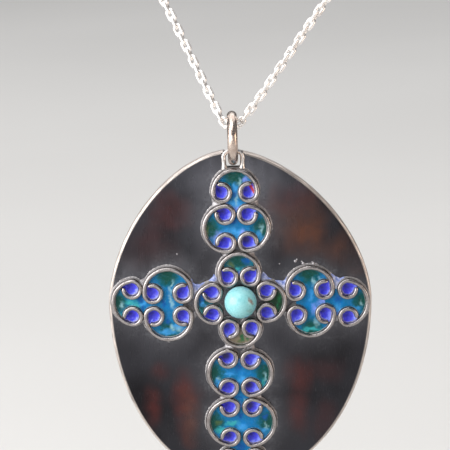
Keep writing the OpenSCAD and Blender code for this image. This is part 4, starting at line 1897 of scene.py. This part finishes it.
@dataclass(frozen=True)
class Web(Poured):
    """Enamel or solder drawn into the nook where neighbouring scrolls meet."""

    kind: Spill
    across: float
    up: float
    reach: float
    pull: float = 0.6
    level: float = 0.7
    under_wire: float = 0.1
    pull_wander: float = 0.25
    lump_wander: float = 0.2
    edge_reach: float = 0.4
    full_hold: float = 0.75
    slope: float = 0.7

    def corners_of(self) -> tuple[Array, Array]:
        """Gives the lowest and highest corner of the web's surroundings."""
        middle = np.array([self.across, self.up])
        return middle - self.reach, middle + self.reach

    def left_of_reach(self, places: Array) -> Array:
        """Measures how far places lie inside the web's reach."""
        return self.reach - np.linalg.norm(places - np.array([self.across, self.up]), axis=1)

    def hold(self, places: Array) -> Array:
        """Measures how strongly the two nearest scrolls draw the melt in.

        Args:
            places: Places on the plate.

        Returns:
            The strengths, 0 at the melt's free edge.
        """
        gaps = np.sort([s.wire_gap(places) - WIRE.crown_half for s in SCROLLS.values()], axis=0)[:2]
        pull = self.pull * (1 + self.pull_wander * Wander.WEB_PULL.over(places))
        return np.exp(-np.maximum(gaps, 0) / pull).sum(0) - 1

    def inside(self, places: Array) -> Array:
        """Measures how far places lie inside the web, outside the fields and curls.

        Args:
            places: Places on the plate.

        Returns:
            The distances, positive inside.
        """
        room = np.minimum(self.pull * self.hold(places), gap_to_wires(places) + self.under_wire)
        room = np.minimum(room, self.left_of_reach(places))
        for scroll in SCROLLS.values():
            for side in (0, 1):
                gap = np.linalg.norm(places - np.array(scroll.curl(side)), axis=1)
                room = np.minimum(room, gap - WIRE.curl_r)
        for enamel in FIELDS:
            room = np.minimum(room, -enamel.inside(places))
        return room

    def top(self, places: Array) -> Array:
        """Gives the web's height.

        Args:
            places: Places on the plate.

        Returns:
            The heights.
        """
        edge = ease(self.left_of_reach(places), 0, self.edge_reach)
        lumps = 1 + self.lump_wander * Wander.WEB_LUMPS.over(places)
        climb = np.clip(self.hold(places) / self.full_hold, 0, 1) ** self.slope
        return 0.01 + self.level * lumps * edge * climb

    def paint(self, places: Array) -> dict[str, Array]:
        """Gives how high the melt climbed, for its colour."""
        return {"rise": np.clip(self.hold(places), 0, 1)}


@dataclass(frozen=True)
class Speck:
    """A stray ball of solder on the plate."""

    across: float
    up: float
    size: float
    flatness: float = 0.8
    sunk: float = 0.02
    root: float = -0.1
    spokes: int = 12
    steps: int = 5

    def add(self, shell: Shell) -> None:
        """Adds the ball, sunk a little into the plate.

        Args:
            shell: The shell that takes it.
        """
        rings = []
        for j in range(1, self.steps + 1):
            tilt = pi / 2 * j / self.steps
            out = self.size * sin(tilt)
            height = self.flatness * self.size * cos(tilt) - self.sunk
            rings.append([
                shell.point(DOME.point(self.across + out * cos(a), self.up + out * sin(a), height))
                for a in spokes(self.spokes)
            ])
        shell.strip(rings)
        shell.fan(rings[0], shell.point(DOME.point(self.across, self.up, self.flatness * self.size)))
        shell.fan(rings[-1], shell.point(DOME.point(self.across, self.up, self.root)))


@dataclass(frozen=True)
class Spills:
    """The webs in the nooks between neighbouring scrolls, and the stray specks."""

    webs: tuple[Web, ...] = (
        Web(Spill.ENAMEL, -6.0, 2.4, 2.6, 1.0, 0.5),
        Web(Spill.ENAMEL, 5.8, 2.5, 2.7, 1.0, 0.5),
        Web(Spill.ENAMEL, 14.2, 2.4, 1.9, 1.0, 0.6),
        Web(Spill.SOLDER, -3.8, 14.2, 1.9, 0.8),
        Web(Spill.SOLDER, 3.3, 14.1, 1.9, 0.8),
        Web(Spill.SOLDER, -2.3, 7.3, 1.8, 0.6),
        Web(Spill.SOLDER, 2.0, 7.4, 1.8, 0.6),
        Web(Spill.SOLDER, -2.6, -7.7, 1.8, 0.7),
        Web(Spill.SOLDER, 2.4, -7.8, 1.8, 0.7),
        Web(Spill.SOLDER, -14.2, 2.0, 1.8, 0.6),
        Web(Spill.SOLDER, -14.2, -3.0, 1.8, 0.6),
        Web(Spill.SOLDER, 14.2, -4.5, 1.8, 0.6),
        Web(Spill.SOLDER, -3.4, -15.8, 1.8, 0.6),
        Web(Spill.SOLDER, 2.9, -15.9, 1.8, 0.6),
        Web(Spill.SOLDER, -6.4, -3.2, 1.8, 0.6),
        Web(Spill.SOLDER, 6.2, -3.6, 1.8, 0.6),
    )
    specks: tuple[Speck, ...] = (
        Speck(8.5, 5.5, 0.24), Speck(9.7, 5.1, 0.24), Speck(11.3, 5.0, 0.26), Speck(11.7, 4.95, 0.18),
        Speck(8.75, 5.75, 0.14), Speck(9.5, 5.4, 0.14), Speck(11.1, 5.25, 0.14), Speck(10.4, 5.0, 0.16),
        Speck(-9.4, 7.1, 0.16), Speck(6.1, 5.2, 0.12), Speck(5.0, 10.65, 0.26), Speck(-11.1, -6.45, 0.3),
    )

    def build(self, kind: Spill, finish: Finish) -> Piece:
        """Builds the spills of one kind.

        Args:
            kind: What was spilled.
            finish: Its material.

        Returns:
            The spills.
        """
        shell = Shell()
        for web in self.webs:
            if web.kind is kind:
                web.pour(shell)
        for speck in self.specks if kind is Spill.SOLDER else ():
            speck.add(shell)
        return shell.build(f"{kind.value}_spills", finish)


@dataclass(frozen=True)
class EnamelDot:
    """The dished cobalt enamel in one curl, pointed where the curl's end meets the arc."""

    scroll: Scroll
    side: int
    burnt: float = 0.0
    red: bool = False
    middle_height: float = 0.44
    rim_height: float = 0.72
    hollow: float = 2.1
    lining: float = 0.06
    past_lining: float = 0.04
    corner_past: float = 0.06
    corner_room: float = 0.18
    # the same spot up and to the left in every dot: counting the spread from it paints shade at the upper
    # left and a highlight at the lower right
    thick_and_shaded_side: Place = (-0.4, 0.4)
    thick_wander: float = 0.25
    thick_reach: float = 1.55
    middle_spread: float = 0.27
    depth_wander: float = 0.06
    lumps: float = 0.02
    red_from: Place = (0.2, 1.1)
    red_to: Place = (0.85, -0.1)
    red_width: Place = (0.12, 0.3)
    base_share: float = 0.95
    base_height: float = 0.03
    base_spread: float = 0.5
    spokes: int = 60
    steps: int = 9

    def reach(self, angle: float) -> float:
        """Measures the way from the curl's middle to its wall.

        Args:
            angle: The direction, in the scroll's own frame.

        Returns:
            The distance.
        """
        turn = angle if self.side else pi - angle
        off = (turn - self.scroll.start) % TURN
        if off > self.scroll.tail(self.side):
            return WIRE.curl_r - WIRE.crown_half - self.lining + self.past_lining
        centre = self.scroll.arc_r - WIRE.curl_r
        inner = self.scroll.arc_r - WIRE.half - self.lining
        out = -centre * cos(off) + sqrt(max(0.0, inner**2 - (centre * sin(off)) ** 2))
        return min(out, WIRE.curl_r + self.corner_room) + self.corner_past

    def redness(self, place: Place) -> float:
        """Measures the strength of the red streak.

        Args:
            place: A place from the curl's middle.

        Returns:
            The strength, 0 to 1.
        """
        a, b = np.array(self.red_from), np.array(self.red_to)
        share = np.clip((np.array(place) - a) @ (b - a) / ((b - a) @ (b - a)), 0, 1)
        gap = np.linalg.norm(np.array(place) - a - share * (b - a))
        return float(self.red and 1 - ease(gap, *self.red_width))

    def from_middle(self, way: float, angle: float) -> Place:
        """Gives the place at a distance and direction from the curl's middle."""
        x0 = (self.side - 0.5) * self.scroll.spacing
        return self.scroll.placed(x0 + way * cos(angle), way * sin(angle))

    def build(self, finish: Finish) -> Piece:
        """Builds the dot.

        Args:
            finish: Its material.

        Returns:
            The dot.
        """
        shell = Shell()
        middle = self.scroll.curl(self.side)
        thick_and_shaded_spot = (
            self.thick_and_shaded_side[0] + self.thick_wander * Wander.DOT_ACROSS.at(middle),
            self.thick_and_shaded_side[1] + self.thick_wander * Wander.DOT_UP.at(middle),
        )
        deep = self.middle_height + self.depth_wander * Wander.DOT_DEPTH.at(middle)
        angles = spokes(self.spokes)
        rings = []
        for j in range(1, self.steps + 1):
            ring = []
            height = deep + (self.rim_height - deep) * (j / self.steps) ** self.hollow
            for a in angles:
                p = self.from_middle(self.reach(a) * j / self.steps, a)
                off = (p[0] - middle[0], p[1] - middle[1])
                # spread carries painted shade and highlight as well as depth: darker near the spot up and
                # left, paler down and right
                spread = dist(off, thick_and_shaded_spot)
                ring.append(shell.point(
                    DOME.point(p[0], p[1], height + self.lumps * Wander.DOT_LUMPS.at(p)),
                    spread=min(1.0, spread / self.thick_reach),
                    burnt=self.burnt * max(0.0, min(1.0, 1.6 - 1.7 * spread)),
                    red=self.redness(off),
                ))
            rings.append(ring)
        shell.strip(rings)
        front = shell.point(DOME.point(*middle, deep), spread=self.middle_spread, burnt=self.burnt)
        shell.fan(rings[0], front)
        base = [
            shell.point(
                DOME.point(*self.from_middle(self.base_share * self.reach(a), a), self.base_height),
                spread=self.base_spread,
            )
            for a in angles
        ]
        shell.strip([rings[-1], base])
        shell.faces.append(tuple(base))
        return shell.build(f"cobalt_{self.scroll.name}_{self.side + 1}", finish)


BURNT_DOTS = {
    ("top_end", 0): 0.3,
    ("top_cell_left", 1): 0.35,
    ("petal_bottom", 1): 0.3,
    ("top_cell_right", 1): 0.8,
    ("bottom_cell_left", 1): 1.0,
    ("bottom_cell_right", 1): 0.9,
    ("low_cell_right", 0): 0.8,
    ("low_cell_left", 0): 0.7,
}
RED_DOT = ("top_end", 1)


@dataclass(frozen=True)
class Bead:
    """The round bead, flattened where it sits on the plate."""

    diameter: float = 4.9
    rise: float = 2.1
    up: float = -0.1
    seat: float = 0.04
    dents: float = 0.008
    dent_rate: float = 1.3
    # the side that the painted shade darkens: lower right
    painted_shade_side: Point = (0.6, -0.1, -0.8)
    sides: int = 72
    steps: int = 40

    @property
    def middle(self) -> Point:
        """The bead's middle."""
        return (DOME.across, DOME.back - self.rise, DOME.up + self.up)

    def build(self, finish: Finish) -> Piece:
        """Builds the bead.

        Args:
            finish: Its material.

        Returns:
            The bead.
        """
        shell = Shell()
        radius = self.diameter / 2
        painted_shade_side = Vector(self.painted_shade_side).normalized()
        rings = []
        for j in range(1, self.steps):
            tilt = pi * j / self.steps
            ring = []
            for a in spokes(self.sides):
                way = Vector((sin(tilt) * cos(a), -cos(tilt), sin(tilt) * sin(a)))
                size = radius * (1 - self.dents * (1 + noise.noise(way * self.dent_rate)))
                p = [m + size * w for m, w in zip(self.middle, way)]
                p[1] = min(p[1], DOME.point(p[0] - DOME.across, p[2] - DOME.up, self.seat)[1])
                # paints the shade, strongest on the lower right side of the bead
                ring.append(shell.point(p, painted_shade=max(0.0, way.dot(painted_shade_side)) ** 1.5))
            rings.append(ring)
        shell.strip(rings)
        across, back, up = self.middle
        shell.fan(rings[0], shell.point((across, back - radius * 0.99, up)))
        shell.fan(rings[-1], shell.point((across, DOME.point(0, self.up, self.seat)[1], up)))
        return shell.build("bead", finish, crease=80)


@dataclass(frozen=True)
class JumpRing:
    """The round wire ring on the chain, with its soldered join behind."""

    outer: float = 8.2
    wire: float = 1.55
    place: Point = (-6.0, -108.0, -141.71)
    join_angle: float = 0.35
    join_depth: float = 0.035
    join_width: float = 0.035
    steps: int = 120
    sides: int = 32

    def build(self, finish: Finish) -> Piece:
        """Builds the ring.

        Args:
            finish: Its material.

        Returns:
            The ring.
        """
        shell = Shell()
        radius = (self.outer - self.wire) / 2
        path, radii = [], []
        x, y, z = self.place
        for a in spokes(self.steps):
            path.append((x, y + radius * cos(a), z + radius * sin(a)))
            off = abs((a - self.join_angle + pi) % TURN - pi)
            radii.append(self.wire / 2 - self.join_depth * exp(-((off / self.join_width) ** 2)))
        tube(shell, path, radii, self.sides, looped=True)
        return shell.build("ring", finish)


@dataclass(frozen=True)
class ChainRoute:
    """The line that the chain follows round the neck and through the jump ring."""

    low: Point = (-6.0, -108.0, -140.0)
    end_across: float = 6.37
    left: tuple[Point, ...] = (
        (-0.8, 0.03, 0.23), (-1.38, 0.25, 0.88), (-2.34, 0.95, 2.8), (-4.84, 2.9, 8.1), (-9.65, 6.6, 18.3),
        (-18.7, 13, 35), (-28.5, 20.5, 52), (-38, 30, 69), (-45.5, 43, 87), (-49.5, 58, 104),
        (-47.5, 75, 119), (-39.5, 90, 130.5), (-27, 101, 137), (-13, 106.6, 139.5),
    )
    right: tuple[Point, ...] = (
        (0.67, 0.02, 0.15), (1.2, 0.18, 0.58), (3, 0.9, 2.6), (6.9, 2.7, 7.6), (14.5, 6.4, 17.5),
        (27.3, 13, 33.3), (39.5, 21, 49), (50, 31.5, 65.5), (58.5, 45, 84), (62.5, 60, 101.5),
        (60.5, 76.5, 117.5), (52.5, 91, 129.5), (39.5, 101.5, 136.8), (25, 106.7, 139.5),
    )
    samples: int = 40

    def route(self) -> Array:
        """Gives the route.

        Returns:
            Its points, from the left end to the right one.
        """
        low = np.array(self.low)
        ends = [np.array([-self.end_across, 0, 0]), np.array([self.end_across, 0, 0])]
        left, right = ([low + np.array(p) for p in arm] for arm in (reversed(self.left), self.right))
        return np.array([ends[0], *left, low, *right, ends[1]])

    def way(self, points: Array, i: int) -> Array:
        """Works out the chain's direction at a route point.

        Args:
            points: The route's points.
            i: The point's number.

        Returns:
            The direction.
        """
        before = points[max(1, i)] - points[max(1, i) - 1]
        after = points[min(len(points) - 1, i + 1)] - points[min(len(points) - 2, i)]
        a, b = np.linalg.norm(after), np.linalg.norm(before)
        mean = a * before / b + b * after / a
        return mean / np.linalg.norm(mean)

    def line(self) -> tuple[Array, Array, float]:
        """Draws the smooth curve through the route's points.

        Returns:
            Close points of the curve, their lengths along it and the length at its lowest point.
        """
        points = self.route()
        close = []
        for i in range(len(points) - 1):
            a, b = points[i], points[i + 1]
            span, first, second = np.linalg.norm(b - a), self.way(points, i), self.way(points, i + 1)
            for t in (k / self.samples for k in range(self.samples)):
                bow = span * t * (1 - t) * ((1 - t) * first - t * second)
                close.append(a + t * t * (3 - 2 * t) * (b - a) + bow)
        close.append(points[-1])
        line = np.array(close)
        lengths = np.concatenate([[0], np.cumsum(np.linalg.norm(np.diff(line, axis=0), axis=1))])
        return line, lengths, float(lengths[(len(self.left) + 1) * self.samples])


@dataclass(frozen=True)
class Link:
    """One link's middle, the chain's direction there and the link's turn about it, in degrees."""

    middle: Array
    way: Array
    roll: float


@dataclass(frozen=True)
class Chain:
    """The cable chain: oval links, each turned a quarter from the last."""

    route: ChainRoute = field(default_factory=ChainRoute)
    pitch: float = 1.32
    length: float = 2.36
    width: float = 1.46
    wire: float = 0.57
    sides: int = 8
    bend_steps: int = 9
    left_roll: float = 8.0
    right_roll: float = 38.0
    roll_room: float = 6.0
    roll_wander: float = 5.0
    end_wire: float = 0.36
    end_inner: float = 4.88
    end_outer: float = 6.86

    def oval(self, length: float, wire: float) -> tuple[Array, list[Face]]:
        """Makes one link lying in its own XY plane, along X.

        Args:
            length: Outer length of the link.
            wire: Thickness of its wire.

        Returns:
            Its points and faces.
        """
        bend = (self.width - wire) / 2
        straight = (length - wire) / 2 - bend
        angles = [pi * k / self.bend_steps for k in range(self.bend_steps + 1)]
        half = [(straight + bend * sin(a), -bend * cos(a)) for a in angles]
        path = [(x, y, 0.0) for x, y in half + [(-x, -y) for x, y in half]]
        shell = Shell()
        tube(shell, path, [wire / 2] * len(path), self.sides, looped=True)
        return np.array(shell.points), shell.faces

    def links(self) -> list[Link]:
        """Spaces the links along the route, with one at its lowest point.

        Returns:
            The links from the left end to the right one.
        """
        line, lengths, low = self.route.line()
        total = float(lengths[-1])
        half = self.length / 2
        left_count = round((low - half) / self.pitch)
        right_count = round((total - low - half) / self.pitch)
        spots = [half + (low - half) * k / left_count for k in range(left_count + 1)]
        spots += [low + (total - half - low) * k / right_count for k in range(1, right_count + 1)]
        found = []
        for i, s in enumerate(spots):
            middle, a, b = (
                np.array([np.interp(s + d * self.pitch, lengths, line[:, c]) for c in range(3)])
                for d in (0, -0.5, 0.5)
            )
            side = min(1.0, abs(s - low) / self.roll_room)
            roll = 90.0 * ((i - left_count) % 2)
            roll += side * (self.left_roll if s < low else self.right_roll)
            roll += self.roll_wander * side * Wander.LINK_ROLL.at((i, 0.0))
            found.append(Link((middle + a + b) / 3, (b - a) / np.linalg.norm(b - a), roll))
        return found

    def build(self, finish: Finish) -> Piece:
        """Builds the chain.

        Args:
            finish: Its material.

        Returns:
            The chain's links.
        """
        shell = Shell()
        links = self.links()
        low = min(range(len(links)), key=lambda k: links[k].middle[2])
        flats: dict[int, Array] = {}
        for order in (range(low, len(links)), range(low - 1, -1, -1)):
            flat = np.array([0.0, 0.0, 1.0])
            for k in order:
                flat = flat - (flat @ links[k].way) * links[k].way
                flat /= np.linalg.norm(flat)
                flats[k] = flat
        points, faces = self.oval(self.length, self.wire)
        for k, one in enumerate(links):
            self.add(shell, points, faces, one, flats[k])
        self.add_ends(shell)
        return shell.build("chain_links", finish)

    def add(self, shell: Shell, points: Array, faces: list[Face], one: Link, flat: Array) -> None:
        """Adds one link.

        Args:
            shell: The shell that takes it.
            points: Points of the link in its own frame.
            faces: Its faces.
            one: The link's place on the chain.
            flat: The direction that the link's flat side faces before its roll.
        """
        a = radians(one.roll)
        up = cos(a) * flat + sin(a) * np.cross(flat, one.way)
        side = np.cross(up, one.way)
        first = len(shell.points)
        for p in one.middle + points[:, :1] * one.way + points[:, 1:2] * side + points[:, 2:] * up:
            shell.point(p)
        shell.faces += [tuple(first + k for k in face) for face in faces]

    def add_ends(self, shell: Shell) -> None:
        """Adds the longer link between each end of the chain and the clasp's eye.

        Args:
            shell: The shell that takes them.
        """
        points, faces = self.oval(self.end_outer - self.end_inner + 2 * self.end_wire, self.end_wire)
        for side in (-1, 1):
            middle = np.array([side * (self.end_inner + self.end_outer) / 2, 0, 0])
            self.add(shell, points, faces, Link(middle, np.array([1.0, 0, 0]), 0.0), np.array([0, 0, 1.0]))


@dataclass(frozen=True)
class Clasp:
    """The plain barrel clasp at the nape, of two halves screwed together."""

    length: float = 7.0
    diameter: float = 3.0
    waist_share: float = 0.7
    end_round: float = 0.1
    grooves: tuple[Place, ...] = ((-0.18, 0), (-0.09, 0.09), (0.0, 0.1), (0.09, 0.09), (0.18, 0))
    groove_room: float = 0.2
    end_step: float = 0.12
    eye_r: float = 1.0
    eye_wire: float = 0.6
    steps: int = 40
    sides: int = 48
    eye_steps: int = 36
    eye_sides: int = 14

    def profile(self) -> list[Place]:
        """Gives the barrel's section.

        Returns:
            Places along the barrel and its radius at each.
        """
        waist, half = self.diameter * self.waist_share, self.length / 2
        bulge = (half**2 + ((self.diameter - waist) / 2) ** 2) / (self.diameter - waist)
        even = [(x, 0.0) for x in np.linspace(-half, half, self.steps + 1) if abs(x) > self.groove_room]
        ends = [(-half + self.end_step, 0), (half - self.end_step, 0)]
        found = []
        for x, groove in sorted([*even, *ends, *self.grooves]):
            r = self.diameter / 2 - bulge + sqrt(bulge**2 - x * x) - groove
            found.append((x, r - (self.end_round if abs(abs(x) - half) < 0.01 else 0.0)))
        return found

    def build(self, finish: Finish) -> Piece:
        """Builds the clasp.

        Args:
            finish: Its material.

        Returns:
            The clasp.
        """
        shell = Shell()
        rings = [
            [shell.point((x, r * cos(a), r * sin(a))) for a in spokes(self.sides)] for x, r in self.profile()
        ]
        shell.strip(rings, capped=True)
        for side in (-1, 1):
            middle = side * (self.length / 2 + self.eye_r - self.eye_wire / 2)
            path = [(middle + self.eye_r * cos(a), 0.0, self.eye_r * sin(a)) for a in spokes(self.eye_steps)]
            tube(shell, path, [self.eye_wire / 2] * self.eye_steps, self.eye_sides, looped=True)
        return shell.build("barrel_clasp", finish, crease=40)


@dataclass(frozen=True)
class SoftLight:
    """A flat light: its place and the place it faces are in metres from the camera's aim."""

    name: str
    place: Point
    size: Place
    power: float
    tint: Point = (1.0, 1.0, 1.0)
    faces: Point = (0, 0, 0)

    def hang(self, aim: Point) -> None:
        """Adds the light.

        Args:
            aim: The camera's aim, in metres.
        """
        lamp = bpy.data.lights.new(self.name, "AREA")
        lamp.shape = "RECTANGLE"
        lamp.energy, lamp.color = self.power, self.tint
        lamp.size, lamp.size_y = self.size
        holder = bpy.data.objects.new(self.name, lamp)
        holder.location = Vector(aim) + Vector(self.place)
        turn = (Vector(self.place) - Vector(self.faces)).to_track_quat("Z", "Y")
        holder.rotation_euler = turn.to_euler()
        bpy.context.scene.collection.objects.link(holder)


@dataclass(frozen=True)
class Studio:
    """The pale floor, the soft lights, the grey surroundings and the camera."""

    floor_height: float = -0.235
    floor_half: float = 3.0
    elevation: float = 12.0
    distance: float = 0.32
    roll: float = 1.7
    lens: float = 169.43
    sensor: float = 36.0
    near_and_far: Place = (0.01, 20)
    aim: Point = (-0.007497, -0.109392, -0.15476)
    surroundings: Colour = (0.5, 0.5, 0.52, 1)
    surroundings_strength: float = 0.3
    lights: tuple[SoftLight, ...] = (
        SoftLight("key_light", (-0.84, -0.48, 0.26), (1.1, 0.9), 17.0, (1.0, 0.98, 0.96)),
        SoftLight("top_light", (-0.14, -0.25, 0.63), (0.5, 0.5), 2.6),
        SoftLight("warm_light", (0.68, -0.28, -0.05), (0.3, 0.5), 2.4, (1.0, 0.8, 0.65)),
        SoftLight("front_light", (-0.12, -0.95, 0.12), (0.8, 0.24), 1.3),
        SoftLight("floor_light", (0, 0.75, 1.25), (2.2, 1.4), 17.0, faces=(0, 0.6, -0.08)),
    )

    def build_floor(self, finish: Finish) -> None:
        """Lays the floor.

        Args:
            finish: Its material.
        """
        mesh = bpy.data.meshes.new("floor")
        h, z = self.floor_half, self.floor_height
        mesh.from_pydata([(-h, -h, z), (h, -h, z), (h, h, z), (-h, h, z)], [], [(0, 1, 2, 3)])
        mesh.materials.append(finish)
        floor = bpy.data.objects.new("floor", mesh)
        bpy.context.scene.collection.objects.link(floor)

    def build_lights(self) -> None:
        """Hangs the lights and sets the grey surroundings."""
        for light in self.lights:
            light.hang(self.aim)
        world = bpy.data.worlds.new("surroundings")
        world.use_nodes = True
        background = world.node_tree.nodes["Background"]
        background.inputs["Color"].default_value = self.surroundings
        background.inputs["Strength"].default_value = self.surroundings_strength
        bpy.context.scene.world = world

    def build_camera(self) -> None:
        """Sets the camera at the photograph's angle."""
        e, r = radians(self.elevation), radians(self.roll)
        ahead = Vector((0, cos(e), -sin(e)))
        level, upright = Vector((1, 0, 0)), Vector((0, sin(e), cos(e)))
        right = cos(r) * level - sin(r) * upright
        up = sin(r) * level + cos(r) * upright
        data = bpy.data.cameras.new("camera")
        data.lens, data.sensor_width = self.lens, self.sensor
        data.clip_start, data.clip_end = self.near_and_far
        camera = bpy.data.objects.new("camera", data)
        place = Vector(self.aim) - self.distance * ahead
        turn = Matrix((right, up, -ahead)).transposed().to_4x4()
        camera.matrix_world = Matrix.Translation(place) @ turn
        bpy.context.scene.collection.objects.link(camera)
        bpy.context.scene.camera = camera


def build_metal() -> None:
    """Builds the plate, the scroll wires, the solder and the hanging loop."""
    body = ("pendant_body",)
    wire_silver = WireSilver().make()
    settle(Plate().build(PlateSilver().make()), Body.PENDANT, Slot.PLATE, body)
    wires = ScrollWires()
    for scroll in wires.scrolls:
        settle(wires.build(scroll, wire_silver), Body.PENDANT, Slot.SILVER, body)
    loop_silver = WorkedSilver("loop_silver", rgb(214, 210, 208), rgb(140, 134, 130), 0.22)
    settle(HangingLoop().build(loop_silver.make()), Body.PENDANT, Slot.SILVER, body)
    solder = WorkedSilver(
        "solder", rgb(176, 174, 178), rgb(120, 116, 116), 0.4, spread=0.2, grain_size=0.3, depth=0.02
    )
    settle(Spills().build(Spill.SOLDER, solder.make()), Body.PENDANT, Slot.SILVER, body)
    settle(Spills().build(Spill.ENAMEL, SpilledEnamel().make()), Body.PENDANT, Slot.SKY, body)


def build_enamel() -> None:
    """Builds the enamel fields, the cobalt dots and the bead."""
    sky = FieldEnamel().make()
    for enamel in FIELDS:
        settle(enamel.build(sky), Body.PENDANT, Slot.SKY, (f"field_{enamel.name}",))
    cobalt = CobaltEnamel().make()
    for scroll in SCROLLS.values():
        for side in (0, 1):
            curl = (scroll.name, side)
            dot = EnamelDot(scroll, side, BURNT_DOTS.get(curl, 0.0), curl == RED_DOT)
            settle(dot.build(cobalt), Body.PENDANT, Slot.COBALT, (f"dot_{scroll.name}_{side + 1}",))
    bead = Bead()
    settle(bead.build(Turquoise(bead.middle).make()), Body.PENDANT, Slot.TURQUOISE, ("turquoise_bead",))


def build_hanging() -> None:
    """Builds the jump ring, the chain and the clasp."""
    polished = WorkedSilver(
        "ring_silver", rgb(222, 208, 198), rgb(142, 116, 102), 0.2, spread=0.12, grain_size=0.8, depth=0.015
    ).make()
    settle(JumpRing().build(polished), Body.RING, Slot.SILVER, ("jump_ring",))
    links = WorkedSilver(
        "chain_silver", rgb(250, 248, 246), rgb(214, 206, 200), 0.24, spread=0.12, depth=0.01, satin=0.35
    )
    settle(Chain().build(links.make()), Body.NECKLACE, Slot.CHAIN, ("chain",))
    settle(Clasp().build(polished), Body.NECKLACE, Slot.SILVER, ("clasp",))


def main() -> None:
    """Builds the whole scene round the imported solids."""
    logging.basicConfig(level=logging.INFO, format="%(message)s", stream=sys.stdout)
    bpy.context.scene.view_settings.view_transform = "Standard"
    studio = Studio()
    studio.build_camera()
    studio.build_floor(FloorPaint().make())
    studio.build_lights()
    build_metal()
    build_enamel()
    build_hanging()


if __name__ == "__main__":
    main()
